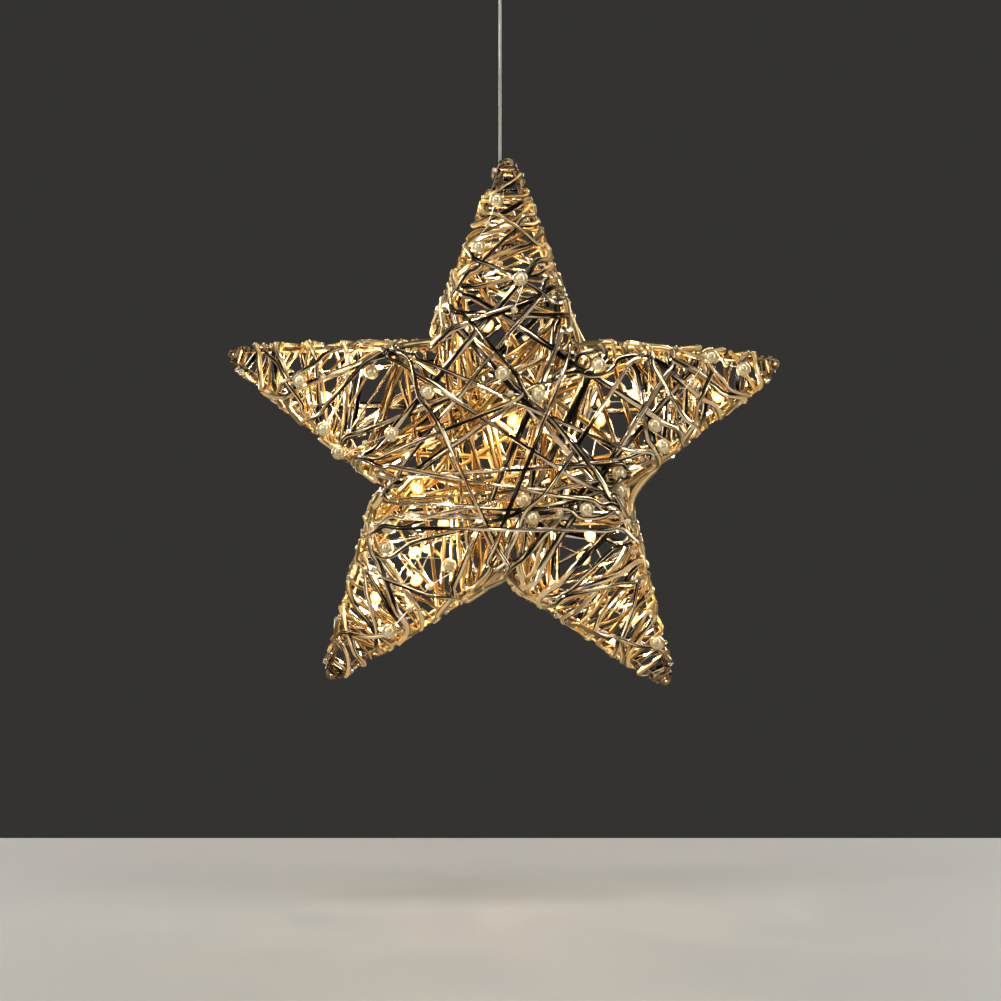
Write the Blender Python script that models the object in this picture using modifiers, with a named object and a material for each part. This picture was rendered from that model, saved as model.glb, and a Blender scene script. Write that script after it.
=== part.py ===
"""A hanging LED christmas star: a bent wire frame wound with gold strands and pearls, lit from inside.

The origin is where a hook bears in the eye on top of the battery case. The star faces -Y and hangs
on its lead along the Z axis. Lengths are in metres.
"""

import math
import random

import bmesh
import bpy
import numpy as np
from mathutils import Vector

# Clearances
GAP = 0.0003  # between pieces that touch
LAY_GAP = 0.0005  # between strands that cross
OVERRUN = 0.002  # how far a cutter runs past what it cuts
MERGE_DISTANCE = 0.00001

# The star's wire frame
ARMS = 5
STAR_TILT_DEGREES = 1.0  # how far the star hangs turned clockwise, as the front is seen
TIP_CORNER = 0.1600  # centre to the corner that an arm's two straight wires aim at
NOTCH_RADIUS = 0.0665  # centre to the wire in a notch
NOTCH_HALF_DEPTH = 0.0165  # middle plane to the front wire in a notch
FRAME_WIRE = 0.0024
TIP_BEND = 0.0020
NOTCH_BEND = 0.0060
TIP_BEND_STEPS = 4
NOTCH_BEND_STEPS = 2

# The gold strands
STRAND = 0.0022
WINDING_TURN = 0.0098  # how far one turn climbs along an arm
WINDING_LEAN = 0.0240  # how much higher a turn is on one side at the arm's foot
TIP_LEAN = 0.0030  # the same at the tip
BARE_TIP = 0.0110  # bare frame at the end of an arm
BODY_ZONE = 0.0160  # length of an arm's edge that the strands of the body go round
OUTER_START_SHARE = 0.75  # where in that zone the outer winding starts
OUTER_TURN_SHARE = 1.2  # how much longer its turns are
WINDING_PLAY_SHARE = 0.25  # how much of the room between turns they wander
WINDING_SEEDS = 100  # a new start of the random numbers for each arm
CROSS_STOPS = 12  # edges that the strand across each arm goes round
CROSS_LEAN_SHARE = 0.30  # how much further out it is on one side, of the wound edge
SIDESTEPS = (0, 1, -1, 2, -2, 3, -3, 4, -4)  # tries beside a strand's place at an edge, in strands
DRAW_EASE = 0.0006  # how far a strand may stand off the strands that it is drawn over
LAY_STEP = 0.0015  # distance between the places where a strand's height is found

# Pearls, beads and their wire
PEARL = 0.0080
BEAD = 0.0038
BEAD_EVERY = 0.0180
GARLAND_WIRE = 0.0006

# The string of lights
LIGHT = 0.0042
LIGHT_LENGTH = 0.0056
LIGHT_SHAPE_SHARES = ((-1, 0), (-0.5, 1), (0.5, 1), (1, 0))  # along and across a drop
STRING_WIRE = 0.0009

# The lead and its sleeve in the star
LEAD = 0.0016
LEAD_FREE = 0.0910  # case to star
LEAD_LEFT_OF_CENTRE = 0.0014
LEAD_POINTS = 24
SLEEVE = 0.0040
SLEEVE_LENGTH = 0.0140
SLEEVE_DEPTH_OF_LEAD = 0.0080

# The battery case
CASE_WALL = 0.0016
CASE_CORNER = 0.0015
CASE_CORNER_STEPS = 2
SWITCH_ROOM = 0.0085
CELL = 0.0145
CELL_LENGTH = 0.0505
CELL_NUB = 0.0055
CELL_NUB_HEIGHT = 0.0014
CELL_EDGE = 0.0006
CELL_STEPS = 16
SPRING_LENGTH = 0.0040
SPRING_WIRE = 0.0008
SPRING_WIDTH = 0.0070
SPRING_TURNS = 2
SPRING_STEPS = 8
CONTACT = 0.0005
CONTACT_WIDTH = 0.0090
COVER = 0.0014
COVER_LIP = 0.0012
COVER_RIB = 0.0008
COVER_RIB_LENGTH = 0.0120
COVER_RIBS = 4
COVER_RIB_PITCH = 0.0024
COVER_FIRST_RIB = 0.0072  # from the cover's foot
COVER_PLAY = 0.0004
EYE_BORE = 0.0080
EYE_RIM = 0.0026
EYE_THICK = 0.0030
EYE_FOOT_WIDTH = 0.0160
EYE_FOOT_HEIGHT = 0.0016
EYE_PEG = 0.0030
EYE_STEPS = 12  # in the lug's half round
HOLE_STEPS = 16
RELIEF_LENGTH = 0.0120
RELIEF_TOP = 0.0062
RELIEF_MOUTH = 0.0032
RELIEF_NECK = 0.0040
SLEEVE_STEPS = 12
SWITCH_TRAVEL = 0.0030
SWITCH_WIDTH = 0.0090
SWITCH_HEIGHT = 0.0045
SWITCH_DEPTH = 0.0040
KNOB_WIDTH = 0.0032
KNOB_HEIGHT = 0.0022
KNOB_PROUD = 0.0012
KNOB_EDGE = 0.0003

# The case's outside, round two cells and the cover's grooves
CASE_WIDTH = 2 * (CELL + 2 * GAP + COVER_LIP + CASE_WALL)
CASE_DEPTH = 2 * CASE_WALL + COVER_PLAY + COVER + CELL + 2 * GAP

# Heights of the case's parts, from the top down
EYE_CENTRE = -EYE_BORE / 2
CASE_TOP = EYE_CENTRE - EYE_BORE / 2 - EYE_FOOT_HEIGHT - GAP
CELL_ROOM = CELL_LENGTH + CELL_NUB_HEIGHT + SPRING_LENGTH + 2 * CONTACT + 4 * GAP
CELL_ROOM_TOP = CASE_TOP - CASE_WALL
CELL_ROOM_FLOOR = CELL_ROOM_TOP - CELL_ROOM
SWITCH_ROOM_TOP = CELL_ROOM_FLOOR - CASE_WALL
SWITCH_ROOM_FLOOR = SWITCH_ROOM_TOP - SWITCH_ROOM
CASE_FLOOR = SWITCH_ROOM_FLOOR - CASE_WALL
RELIEF_FOOT = CASE_FLOOR - GAP - RELIEF_LENGTH
TIP_HEIGHT = RELIEF_FOOT - LEAD_FREE

# The shape of an arm, worked out from the frame's sizes
HALF_SECTOR = math.pi / ARMS
STAR_TILT = math.radians(STAR_TILT_DEGREES)
BASE_ALONG = NOTCH_RADIUS * math.cos(HALF_SECTOR)
BASE_SPREAD = NOTCH_RADIUS * math.sin(HALF_SECTOR)
ARM_LENGTH = TIP_CORNER - BASE_ALONG
SPREAD_SLOPE = BASE_SPREAD / ARM_LENGTH
TIP_HALF_DEPTH = LEAD / 2 + GAP + FRAME_WIRE / 2
DEPTH_SLOPE = (NOTCH_HALF_DEPTH - TIP_HALF_DEPTH) / ARM_LENGTH
EDGE_COSINE = math.cos(math.atan(SPREAD_SLOPE))
NOTCH_HALF_OPENING = HALF_SECTOR + math.atan(SPREAD_SLOPE)
NOTCH_BEND_RISE = NOTCH_BEND / math.sin(NOTCH_HALF_OPENING) - NOTCH_BEND
TIP_OUTSIDE = TIP_CORNER - TIP_BEND / math.sin(math.atan(SPREAD_SLOPE)) + TIP_BEND + FRAME_WIRE / 2
STAR_FROM_AXIS = Vector((LEAD_LEFT_OF_CENTRE, 0, -TIP_OUTSIDE * math.cos(STAR_TILT)))

# The sleeve jams where the front and back wires close in on it below the tip
SLEEVE_SEAT = (SLEEVE + FRAME_WIRE) / 2 + GAP - TIP_HALF_DEPTH
SLEEVE_TOP_DROP = TIP_OUTSIDE - TIP_CORNER + SLEEVE_SEAT / DEPTH_SLOPE

# How far a strand's middle lies from the middle of the wire that it goes round
LAYER_PITCH = (STRAND + GAP) / EDGE_COSINE
LAYERS = [(FRAME_WIRE + STRAND) / 2 + GAP + layer * LAYER_PITCH for layer in range(8)]

# Where each strand of the body goes round an edge: arm, side, and share of the zone out from the notch
BODY_STRAND_SHARES = (
    ((4, 1, 0.81), (2, 1, 0.17), (4, 1, 0.11), (4, -1, 0.14), (1, -1, 0.88)),
    ((4, -1, 0.33), (4, 1, 0.34), (2, 1, 0.63), (0, -1, 0.22), (2, -1, 0.80)),
    ((0, 1, 0.59), (3, -1, 0.55), (3, 1, 0.01), (2, -1, 0.99), (3, 1, 0.75)),
    ((1, -1, 0.27), (3, -1, 0.25), (0, 1, 0.31), (2, -1, 0.22), (3, 1, 0.42)),
    ((1, 1, 0.21), (3, 1, 0.23)),
    ((0, 1, 0.80), (4, -1, 0.67), (1, 1, 0.71), (0, -1, 0.59), (1, 1, 1.00)),
    ((3, -1, 0.76), (0, -1, 0.92)),
    ((2, 1, 0.83), (1, -1, 0.08), (4, -1, 0.87)),
    ((1, -1, 0.49), (1, 1, 0.40)),
)

# The same for the long strands on top, front and back in turn, with the share of the whole wound edge
LONG_STRAND_SHARES = (
    (
        (2, 1, 0.12), (1, -1, 0.00), (4, -1, 0.30), (0, 1, 0.30),
        (2, 1, 0.00), (1, -1, 0.05), (3, 1, 0.00), (1, -1, 0.00),
        (3, -1, 0.04), (1, -1, 0.64), (3, -1, 0.06), (0, 1, 0.15),
    ),
    (
        (0, -1, 0.31), (0, 1, 0.04), (0, -1, 0.01), (2, -1, 0.00),
        (0, -1, 0.00), (1, 1, 0.00), (1, -1, 0.16), (1, 1, 0.47),
        (0, -1, 0.25), (0, 1, 0.07), (3, -1, 0.36), (3, 1, 0.48),
    ),
    (
        (1, -1, 0.00), (2, 1, 0.00), (2, -1, 0.40), (2, 1, 0.08),
        (1, 1, 0.00), (3, 1, 0.05), (2, -1, 0.00), (0, -1, 0.00),
        (2, -1, 0.20), (3, 1, 0.01), (3, -1, 0.66), (3, 1, 0.72),
    ),
    (
        (1, 1, 0.17), (1, -1, 0.00), (1, 1, 0.71), (1, -1, 0.56),
        (2, 1, 0.00), (0, 1, 0.52), (4, -1, 0.04), (0, 1, 0.13),
        (4, -1, 0.64), (1, 1, 0.80), (1, -1, 0.25), (4, -1, 0.96),
    ),
)

# Places on the star's face, as shares of TIP_CORNER right of and above the centre, read where
# NOTCH_RADIUS was this share of TIP_CORNER
READ_NOTCH_SHARE = 0.415625
PEARL_SHARES = {
    "top": ((-0.02, 0.83), (-0.08, 0.67), (0.06, 0.56), (0.00, 0.24)),
    "heart": ((-0.25, 0.18), (0.12, 0.17), (0.32, 0.27)),
    "right": ((0.39, -0.09), (0.54, 0.00), (0.51, 0.07), (0.70, 0.30), (0.81, 0.26)),
    "left": ((-0.37, 0.04), (-0.55, -0.02), (-0.60, 0.06), (-0.68, 0.22), (-0.44, 0.25)),
    "lower_right": ((0.07, -0.18), (0.10, -0.24), (0.28, -0.21), (0.39, -0.15), (0.52, -0.66)),
    "lower_left": ((-0.38, -0.62), (-0.18, -0.40), (-0.39, -0.34), (-0.38, -0.27)),
}
BACK_PEARL_SHARES = {
    "back_upper": ((0.02, 0.80), (-0.04, 0.55), (0.14, 0.30), (0.40, 0.20), (0.66, 0.24)),
    "back_left": ((-0.74, 0.25), (-0.50, 0.12), (-0.25, 0.02), (-0.02, 0.05)),
    "back_lower": ((-0.44, -0.62), (-0.26, -0.34), (0.02, -0.24), (0.28, -0.38), (0.42, -0.60)),
}

# The string of lights from the sleeve on: right, above, side of the hollow (-1 front, 1 back), lit
STRING_SHARES = (
    (-0.017, 0.80, 0, False),
    (-0.05, 0.64, -1, True),
    (-0.05, 0.41, -1, True),
    (-0.20, 0.36, -1, False),
    (-0.37, 0.32, -1, True),
    (-0.52, 0.27, -1, True),
    (-0.77, 0.23, -1, True),
    (-0.79, 0.25, 1, False),
    (-0.60, 0.17, 1, True),
    (-0.49, -0.02, 1, False),
    (-0.45, -0.05, -1, True),
    (-0.29, -0.14, -1, True),
    (-0.20, -0.26, -1, True),
    (-0.29, -0.45, -1, True),
    (-0.43, -0.51, -1, True),
    (-0.46, -0.58, 1, False),
    (-0.30, -0.36, 1, True),
    (0.02, -0.20, 1, True),
    (0.13, -0.36, 1, False),
    (0.17, -0.47, -1, True),
    (0.44, -0.58, -1, True),
    (0.45, -0.62, 1, False),
    (0.30, -0.30, 1, True),
    (0.30, -0.06, 1, False),
    (0.33, 0.09, -1, True),
    (0.34, 0.15, -1, True),
    (0.73, 0.17, -1, True),
    (0.74, 0.22, 1, False),
    (0.45, 0.18, 1, True),
    (0.16, 0.33, 1, False),
    (0.13, 0.36, -1, False),
    (0.035, 0.09, -1, True),
)


def clear_scene():
    for thing in list(bpy.data.objects):
        bpy.data.objects.remove(thing, do_unlink=True)


def new_collection(name):
    group = bpy.data.collections.new(name)
    bpy.context.scene.collection.children.link(group)
    return group


def finish(name, colour, roughness, metallic):
    """A plain Principled material."""
    material = bpy.data.materials.new(name)
    material.use_nodes = True
    shader = material.node_tree.nodes["Principled BSDF"]
    shader.inputs["Base Color"].default_value = (*colour, 1.0)
    shader.inputs["Roughness"].default_value = roughness
    shader.inputs["Metallic"].default_value = metallic
    return material


def place(thing, material, parent=None, location=(0, 0, 0)):
    """Puts an object in the star's collection with a copy of its finish."""
    star_parts.objects.link(thing)
    thing.data.materials.append(material.copy())
    thing.parent = parent
    thing.location = location
    return thing


def tube(name, points, diameter, material, parent=None, location=(0, 0, 0), **options):
    """A wire of round section. Options: resolution, closed and radii, one for each point."""
    curve = bpy.data.curves.new(name, "CURVE")
    curve.dimensions = "3D"
    curve.bevel_depth = diameter / 2
    curve.bevel_resolution = options.get("resolution", 2)
    curve.use_fill_caps = True
    spline = curve.splines.new("POLY")
    spline.points.add(len(points) - 1)
    radii = options.get("radii") or [diameter / 2] * len(points)
    for point, spot, radius in zip(spline.points, points, radii, strict=True):
        point.co = (*spot, 1.0)
        point.radius = 2 * radius / diameter
    spline.use_cyclic_u = options.get("closed", False)
    return place(bpy.data.objects.new(name, curve), material, parent, location)


def bend(before, corner, after, radius, steps):
    """The points of a round bend in a wire that turns at a corner."""
    into = (corner - before).normalized()
    out = (after - corner).normalized()
    turn = into.angle(out)
    inward = (out - into * into.dot(out)).normalized()
    start = corner - into * radius * math.tan(turn / 2)
    centre = start + inward * radius
    angles = [turn * step / steps for step in range(steps + 1)]
    return [centre + radius * (into * math.sin(a) - inward * math.cos(a)) for a in angles]


def on_arm(arm, along, across, depth):
    """A place given along and across an arm, as a point with the star's centre at zero."""
    turn = math.pi / 2 - STAR_TILT - arm * 2 * HALF_SECTOR
    x = along * math.cos(turn) + across * math.sin(turn)
    z = along * math.sin(turn) - across * math.cos(turn)
    return Vector((x, depth, z))


def arm_of(x, z):
    """The arm whose sector holds a point, with the point's place along and across it."""
    turn = math.pi / 2 - STAR_TILT - math.atan2(z, x)
    arm = round(turn / (2 * HALF_SECTOR)) % ARMS
    axis = math.pi / 2 - STAR_TILT - arm * 2 * HALF_SECTOR
    along = x * math.cos(axis) + z * math.sin(axis)
    across = x * math.sin(axis) - z * math.cos(axis)
    return arm, along, across


def wire_spread(along):
    return (TIP_CORNER - along) * SPREAD_SLOPE


def wire_depth(along):
    return TIP_HALF_DEPTH + (TIP_CORNER - along) * DEPTH_SLOPE


def on_face(right_share, above_share):
    """A place in the tables below, moved in or out with the outline where the notches change."""
    x, z = right_share * TIP_CORNER, above_share * TIP_CORNER
    _, along, across = arm_of(x, z)
    reaches = []
    for notch_radius in (NOTCH_RADIUS, READ_NOTCH_SHARE * TIP_CORNER):
        rise = TIP_CORNER - notch_radius * math.cos(HALF_SECTOR)
        reaches.append(TIP_CORNER / (along + abs(across) * rise / (notch_radius * math.sin(HALF_SECTOR))))
    scale = reaches[0] / reaches[1]
    return x * scale, z * scale


def face_level(x, z):
    """How far from the middle plane the wires' plane lies at a place on the star."""
    _, along, _ = arm_of(x, z)
    return min(NOTCH_HALF_DEPTH, wire_depth(along))


def build_frame(axis, lay):
    """Two bent outlines, which meet near the tips, and a spacer between them in each notch."""
    for name, face in (("front_outline", -1), ("back_outline", 1)):
        corners = []
        for arm in range(ARMS):
            corners.append((on_arm(arm, TIP_CORNER, 0, face * TIP_HALF_DEPTH), TIP_BEND, TIP_BEND_STEPS))
            notch = on_arm(arm, BASE_ALONG, BASE_SPREAD, face * NOTCH_HALF_DEPTH)
            corners.append((notch, NOTCH_BEND, NOTCH_BEND_STEPS))
        points = []
        for index, (corner, radius, steps) in enumerate(corners):
            before = corners[index - 1][0]
            after = corners[(index + 1) % len(corners)][0]
            points += bend(before, corner, after, radius, steps)
        tube(name, points, FRAME_WIRE, bronze, axis, STAR_FROM_AXIS, closed=True)
        lay.add([*points, points[0]], FRAME_WIRE / 2)
    inside = 1 + (NOTCH_BEND_RISE - FRAME_WIRE - GAP) / NOTCH_RADIUS
    reach = NOTCH_HALF_DEPTH + FRAME_WIRE / 2
    for arm in range(ARMS):
        ends = [on_arm(arm, BASE_ALONG * inside, BASE_SPREAD * inside, y) for y in (-reach, reach)]
        tube(f"spacer_{arm + 1}", ends, FRAME_WIRE, bronze, axis, STAR_FROM_AXIS)
        lay.add(ends, FRAME_WIRE / 2)


class Lay:
    """What has been laid on the star so far, so that each new strand rests on it."""

    def __init__(self):
        self.starts = np.zeros((0, 3))
        self.ends = np.zeros((0, 3))
        self.radii = np.zeros(0)

    def add(self, points, radius):
        """Takes in a wire. One radius, or one for each of its points."""
        points = np.array([tuple(p) for p in points])
        radii = np.full(len(points), radius) if np.isscalar(radius) else np.array(radius)
        self.starts = np.vstack([self.starts, points[:-1]])
        self.ends = np.vstack([self.ends, points[1:]])
        self.radii = np.append(self.radii, np.maximum(radii[:-1], radii[1:]))

    def rest_height(self, x, z, radius, face):
        """How far from the middle plane a ball lies that rests on a face, or None over nothing."""
        run = (self.ends - self.starts)[:, [0, 2]]
        rise = face * (self.ends - self.starts)[:, 1]
        offset = np.array([x, z]) - self.starts[:, [0, 2]]
        length = (run**2).sum(1)
        level = length > (LAY_GAP / 2) ** 2
        share = np.clip((offset * run).sum(1) / np.where(level, length, 1.0), 0, 1)
        share = np.where(level, share, rise > 0)
        aside = ((offset - share[:, None] * run) ** 2).sum(1)
        reach = self.radii + radius + LAY_GAP
        near = aside < reach**2
        if not near.any():
            return None
        height = face * self.starts[:, 1] + share * rise
        return float((height[near] + np.sqrt(reach[near] ** 2 - aside[near])).max())

    def is_clear(self, points, radius):
        """Whether a strand through the points keeps the gap to all that was laid before."""
        for start, end in zip(points, points[1:], strict=False):
            steps = max(2, math.ceil((end - start).length / LAY_STEP))
            for step in range(steps + 1):
                spot = np.array(start.lerp(end, step / steps))
                run = self.ends - self.starts
                length = np.maximum((run**2).sum(1), MERGE_DISTANCE**2)
                share = np.clip(((spot - self.starts) * run).sum(1) / length, 0, 1)
                aside = spot - self.starts - share[:, None] * run
                if (np.sqrt((aside**2).sum(1)) < self.radii + radius + LAY_GAP).any():
                    return False
        return True

    def is_open(self, spot, radius):
        """Whether nothing lies over a strand's place on its face."""
        face = 1 if spot.y > 0 else -1
        height = self.rest_height(spot.x, spot.z, radius, face)
        return height is None or height <= abs(spot.y)

    def draw_over(self, start, end, radius, face):
        """The points of a wire drawn tight over a face between two ends, without the ends."""
        run = Vector((end.x - start.x, end.z - start.z)).length
        steps = max(2, math.ceil(run / LAY_STEP))
        spots = [(0, face * start.y)]
        for step in range(1, steps):
            spot = start.lerp(end, step / steps)
            height = self.rest_height(spot.x, spot.z, radius, face)
            if height is not None:
                spots.append((step, height))
        spots.append((steps, face * end.y))
        hull = []
        for spot in spots:
            while len(hull) > 1 and sags(hull[-2], hull[-1], spot):
                hull.pop()
            hull.append(spot)
        points = []
        for step, height in ease(hull)[1:-1]:
            spot = start.lerp(end, step / steps)
            points.append(Vector((spot.x, face * height, spot.z)))
        return points


def sags(before, middle, after):
    """Whether a tight wire passes over the middle place without touching it."""
    line = before[1] + (after[1] - before[1]) * (middle[0] - before[0]) / (after[0] - before[0])
    return middle[1] <= line


def ease(hull):
    """The same bends with each pair that lies close made one, just above them."""
    index = 1
    while index + 2 < len(hull):
        before, first, second, after = hull[index - 1 : index + 3]
        rise_in = (first[1] - before[1]) / (first[0] - before[0])
        rise_out = (after[1] - second[1]) / (after[0] - second[0])
        if rise_in > rise_out:
            middle = (second[1] - first[1] + rise_in * first[0] - rise_out * second[0]) / (rise_in - rise_out)
            height = first[1] + rise_in * (middle - first[0])
            share = (middle - first[0]) / (second[0] - first[0])
            if height - first[1] - share * (second[1] - first[1]) < DRAW_EASE:
                hull[index : index + 2] = [(middle, height)]
                continue
        index += 1
    return hull


def round_edge(arm, side, front_along, back_along, stand_off):
    """A strand's two corners round an arm's edge, from the front face to the back."""
    points = []
    for along, face in ((front_along, -1), (back_along, 1)):
        across = side * (wire_spread(along) + stand_off)
        points.append(on_arm(arm, along, across, face * (wire_depth(along) + stand_off)))
    return points


def notch_clearance(stand_off):
    """How far out from the notch a strand can go round the edge, clear of the next arm's."""
    beside = (STRAND + LAY_GAP) / 2 + stand_off * math.sin(NOTCH_HALF_OPENING)
    away = beside / math.cos(NOTCH_HALF_OPENING)
    return away * EDGE_COSINE


def build_arm_windings(axis, lay):
    """Two strands spiral up each arm, one over the other, with opposite hands and leans."""
    for arm in range(ARMS):
        for layer, stand_off in enumerate(LAYERS[:2]):
            dice = random.Random(WINDING_SEEDS * arm + layer)
            hand = 1 if (arm + layer) % 2 else -1
            lean_hand = 1 if layer else -1
            turn_length = WINDING_TURN * OUTER_TURN_SHARE**layer
            play = (turn_length - (STRAND + LAY_GAP) / EDGE_COSINE**2) * WINDING_PLAY_SHARE
            first = BASE_ALONG + notch_clearance(stand_off) + WINDING_LEAN / 2 + play
            first += layer * OUTER_START_SHARE * BODY_ZONE
            last = TIP_CORNER - BARE_TIP - TIP_LEAN / 2 - play
            turns = round((last - first) / turn_length)
            points = []
            for turn in range(turns):
                spots = []
                for quarter, side in enumerate((hand, hand, -hand, -hand)):
                    share = (turn + quarter / 4) / turns
                    lean = side * lean_hand * (WINDING_LEAN + share * (TIP_LEAN - WINDING_LEAN)) / 2
                    jitter = dice.uniform(-play, play)
                    spots.append(first + share * (last - first) + lean + jitter)
                points += round_edge(arm, hand, spots[0], spots[1], stand_off)
                points += round_edge(arm, -hand, spots[3], spots[2], stand_off)[::-1]
            name = f"arm_{arm + 1}_{('inner', 'outer')[layer]}_winding"
            tube(name, points, STRAND, gold, axis, STAR_FROM_AXIS, resolution=0)
            lay.add(points, STRAND / 2)


def build_body_strands(axis, lay):
    """Strands drawn tight across the body, round the foot of an arm and back across the other face."""
    stand_off = LAYERS[1]
    lowest = BASE_ALONG + notch_clearance(stand_off)
    for number, turns in enumerate(BODY_STRAND_SHARES):
        points = []
        corner = []
        face = 1
        for arm, side, share in turns:
            along = lowest + share * (BODY_ZONE - STRAND)
            next_corner = round_edge(arm, side, along, along, stand_off)
            if face > 0:
                next_corner.reverse()
            if corner:
                middle = lay.draw_over(corner[-1], next_corner[0], STRAND / 2, face)
                lay.add([*corner, *middle, next_corner[0]], STRAND / 2)
                points += middle
            points += next_corner
            corner = next_corner
            face = -face
        lay.add(corner, STRAND / 2)
        tube(f"body_strand_{number + 1}", points, STRAND, gold, axis, STAR_FROM_AXIS, resolution=0)


def free_corner(lay, arm, side, share):
    """The lowest place for a strand round an edge that is clear and under no other strand."""
    for stand_off in LAYERS[1:]:
        lowest = BASE_ALONG + notch_clearance(stand_off)
        highest = TIP_CORNER - BARE_TIP
        for sidestep in SIDESTEPS:
            along = lowest + share * (highest - lowest) + sidestep * (STRAND + LAY_GAP)
            along = min(highest, max(lowest, along))
            corner = round_edge(arm, side, along, along, stand_off)
            if lay.is_clear(corner, STRAND / 2) and all(lay.is_open(spot, STRAND / 2) for spot in corner):
                return corner
    return corner


def lay_strand(axis, lay, name, turns):
    """A strand drawn tight from edge to edge over the faces in turn, over all that lies there."""
    points = []
    corner = []
    face = -1
    for arm, side, share in turns:
        next_corner = free_corner(lay, arm, side, share)
        if face > 0:
            next_corner.reverse()
        if corner:
            middle = lay.draw_over(corner[-1], next_corner[0], STRAND / 2, face)
            lay.add([*corner, *middle, next_corner[0]], STRAND / 2)
            points += middle
        points += next_corner
        corner = next_corner
        face = -face
    lay.add(corner, STRAND / 2)
    tube(name, points, STRAND, gold, axis, STAR_FROM_AXIS, resolution=0)


def build_top_strands(axis, lay):
    """A strand to and fro across each arm, then the long ones across the body and the arms."""
    for arm in range(ARMS):
        hand = 1 if arm % 2 else -1
        turns = []
        for stop in range(CROSS_STOPS):
            side = hand if stop % 2 else -hand
            out = CROSS_LEAN_SHARE + stop * (1 - CROSS_LEAN_SHARE) / (CROSS_STOPS - 1)
            turns.append((arm, side, out - CROSS_LEAN_SHARE * (side * hand + 1) / 2 * (1 - out)))
        lay_strand(axis, lay, f"arm_{arm + 1}_cross_strand", turns)
    for number, turns in enumerate(LONG_STRAND_SHARES):
        lay_strand(axis, lay, f"long_strand_{number + 1}", turns)


def ball(before, centre, after, size):
    """A bead's points along its wire, with the radius of each."""
    along = Vector((after.x - before.x, 0, after.z - before.z)).normalized() * size / 2
    shares = (-1, -0.7, 0, 0.7, 1) if size == PEARL else (-1, 0, 1)
    radii = [size / 2 * math.sqrt(max(0, 1 - share**2)) for share in shares]
    return [centre + share * along for share in shares], [max(r, GARLAND_WIRE / 2) for r in radii]


def build_garland(axis, lay, name, spots, face):
    """Pearls on a thin wire that lies on the strands, with small beads in the longer gaps."""
    places = []
    for index, spot in enumerate(spots):
        x, z = on_face(*spot)
        places.append((x, z, PEARL))
        if index + 1 < len(spots):
            next_x, next_z = on_face(*spots[index + 1])
            beads = int(math.hypot(next_x - x, next_z - z) / BEAD_EVERY)
            for bead in range(1, beads + 1):
                share = bead / (beads + 1)
                places.append((x + share * (next_x - x), z + share * (next_z - z), BEAD))
    balls = []
    for index, (x, z, size) in enumerate(places):
        before = places[max(0, index - 1)]
        after = places[min(len(places) - 1, index + 1)]
        run = Vector((after[0] - before[0], after[1] - before[1])).normalized()
        heights = [face_level(x, z) + size / 2, lay.rest_height(x, z, size / 2, face)]
        for reach in (-size / 2 - STRAND, -size / 2, size / 2, size / 2 + STRAND):
            heights.append(lay.rest_height(x + reach * run.x, z + reach * run.y, GARLAND_WIRE, face))
        balls.append((Vector((x, face * max(h for h in heights if h is not None), z)), size))
    points = []
    radii = []
    for index, (centre, size) in enumerate(balls):
        before = balls[max(0, index - 1)][0]
        after = balls[min(len(balls) - 1, index + 1)][0]
        spots_of_ball, radii_of_ball = ball(before, centre, after, size)
        if points:
            middle = lay.draw_over(points[-1], spots_of_ball[0], GARLAND_WIRE / 2, face)
            points += middle
            radii += [GARLAND_WIRE / 2] * len(middle)
        points += spots_of_ball
        radii += radii_of_ball
    tube(f"pearls_{name}", points, GARLAND_WIRE, pearl, axis, STAR_FROM_AXIS, radii=radii, resolution=1)
    lay.add(points, radii)


def build_light_string(axis):
    """One thin wire through the hollow, with a resin drop over each light."""
    string_start = TIP_OUTSIDE - SLEEVE_TOP_DROP - SLEEVE_LENGTH
    spots = [(Vector((-LEAD_LEFT_OF_CENTRE, 0, string_start + SLEEVE_DEPTH_OF_LEAD / 2)), False)]
    spots.append((Vector((-LEAD_LEFT_OF_CENTRE, 0, string_start - SLEEVE)), False))
    for right, above, face, lit in STRING_SHARES:
        x, z = on_face(right, above)
        depth = face_level(x, z) - FRAME_WIRE / 2 - LIGHT / 2
        spots.append((Vector((x, face * depth, z)), lit))
    points = []
    radii = []
    for index, (spot, lit) in enumerate(spots):
        if not lit:
            points.append(spot)
            radii.append(STRING_WIRE / 2)
            continue
        before = spots[index - 1][0]
        after = spots[min(len(spots) - 1, index + 1)][0]
        along = (after - before).normalized() * LIGHT_LENGTH / 2
        for share, size_share in LIGHT_SHAPE_SHARES:
            points.append(spot + share * along)
            radii.append(max(STRING_WIRE / 2, size_share * LIGHT / 2))
    tube("light_string", points, STRING_WIRE, warm_resin, axis, STAR_FROM_AXIS, radii=radii, resolution=1)


def turned(name, profile, material, steps, parent=None, location=(0, 0, 0)):
    """A turned piece from (radius, height) points that run down its outer side and up its bore."""
    mesh = bpy.data.meshes.new(name)
    closed = all(radius > 0 for radius, _ in profile)
    edges = [(i, i + 1) for i in range(len(profile) - 1)]
    if closed:
        edges.append((len(profile) - 1, 0))
    mesh.from_pydata([(radius, 0, height) for radius, height in profile], edges, [])
    thing = place(bpy.data.objects.new(name, mesh), material, parent, location)
    screw = thing.modifiers.new("turn", "SCREW")
    screw.steps = steps
    screw.render_steps = steps
    screw.use_merge_vertices = True
    screw.merge_threshold = MERGE_DISTANCE
    screw.use_smooth_shade = True
    return thing


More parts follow.
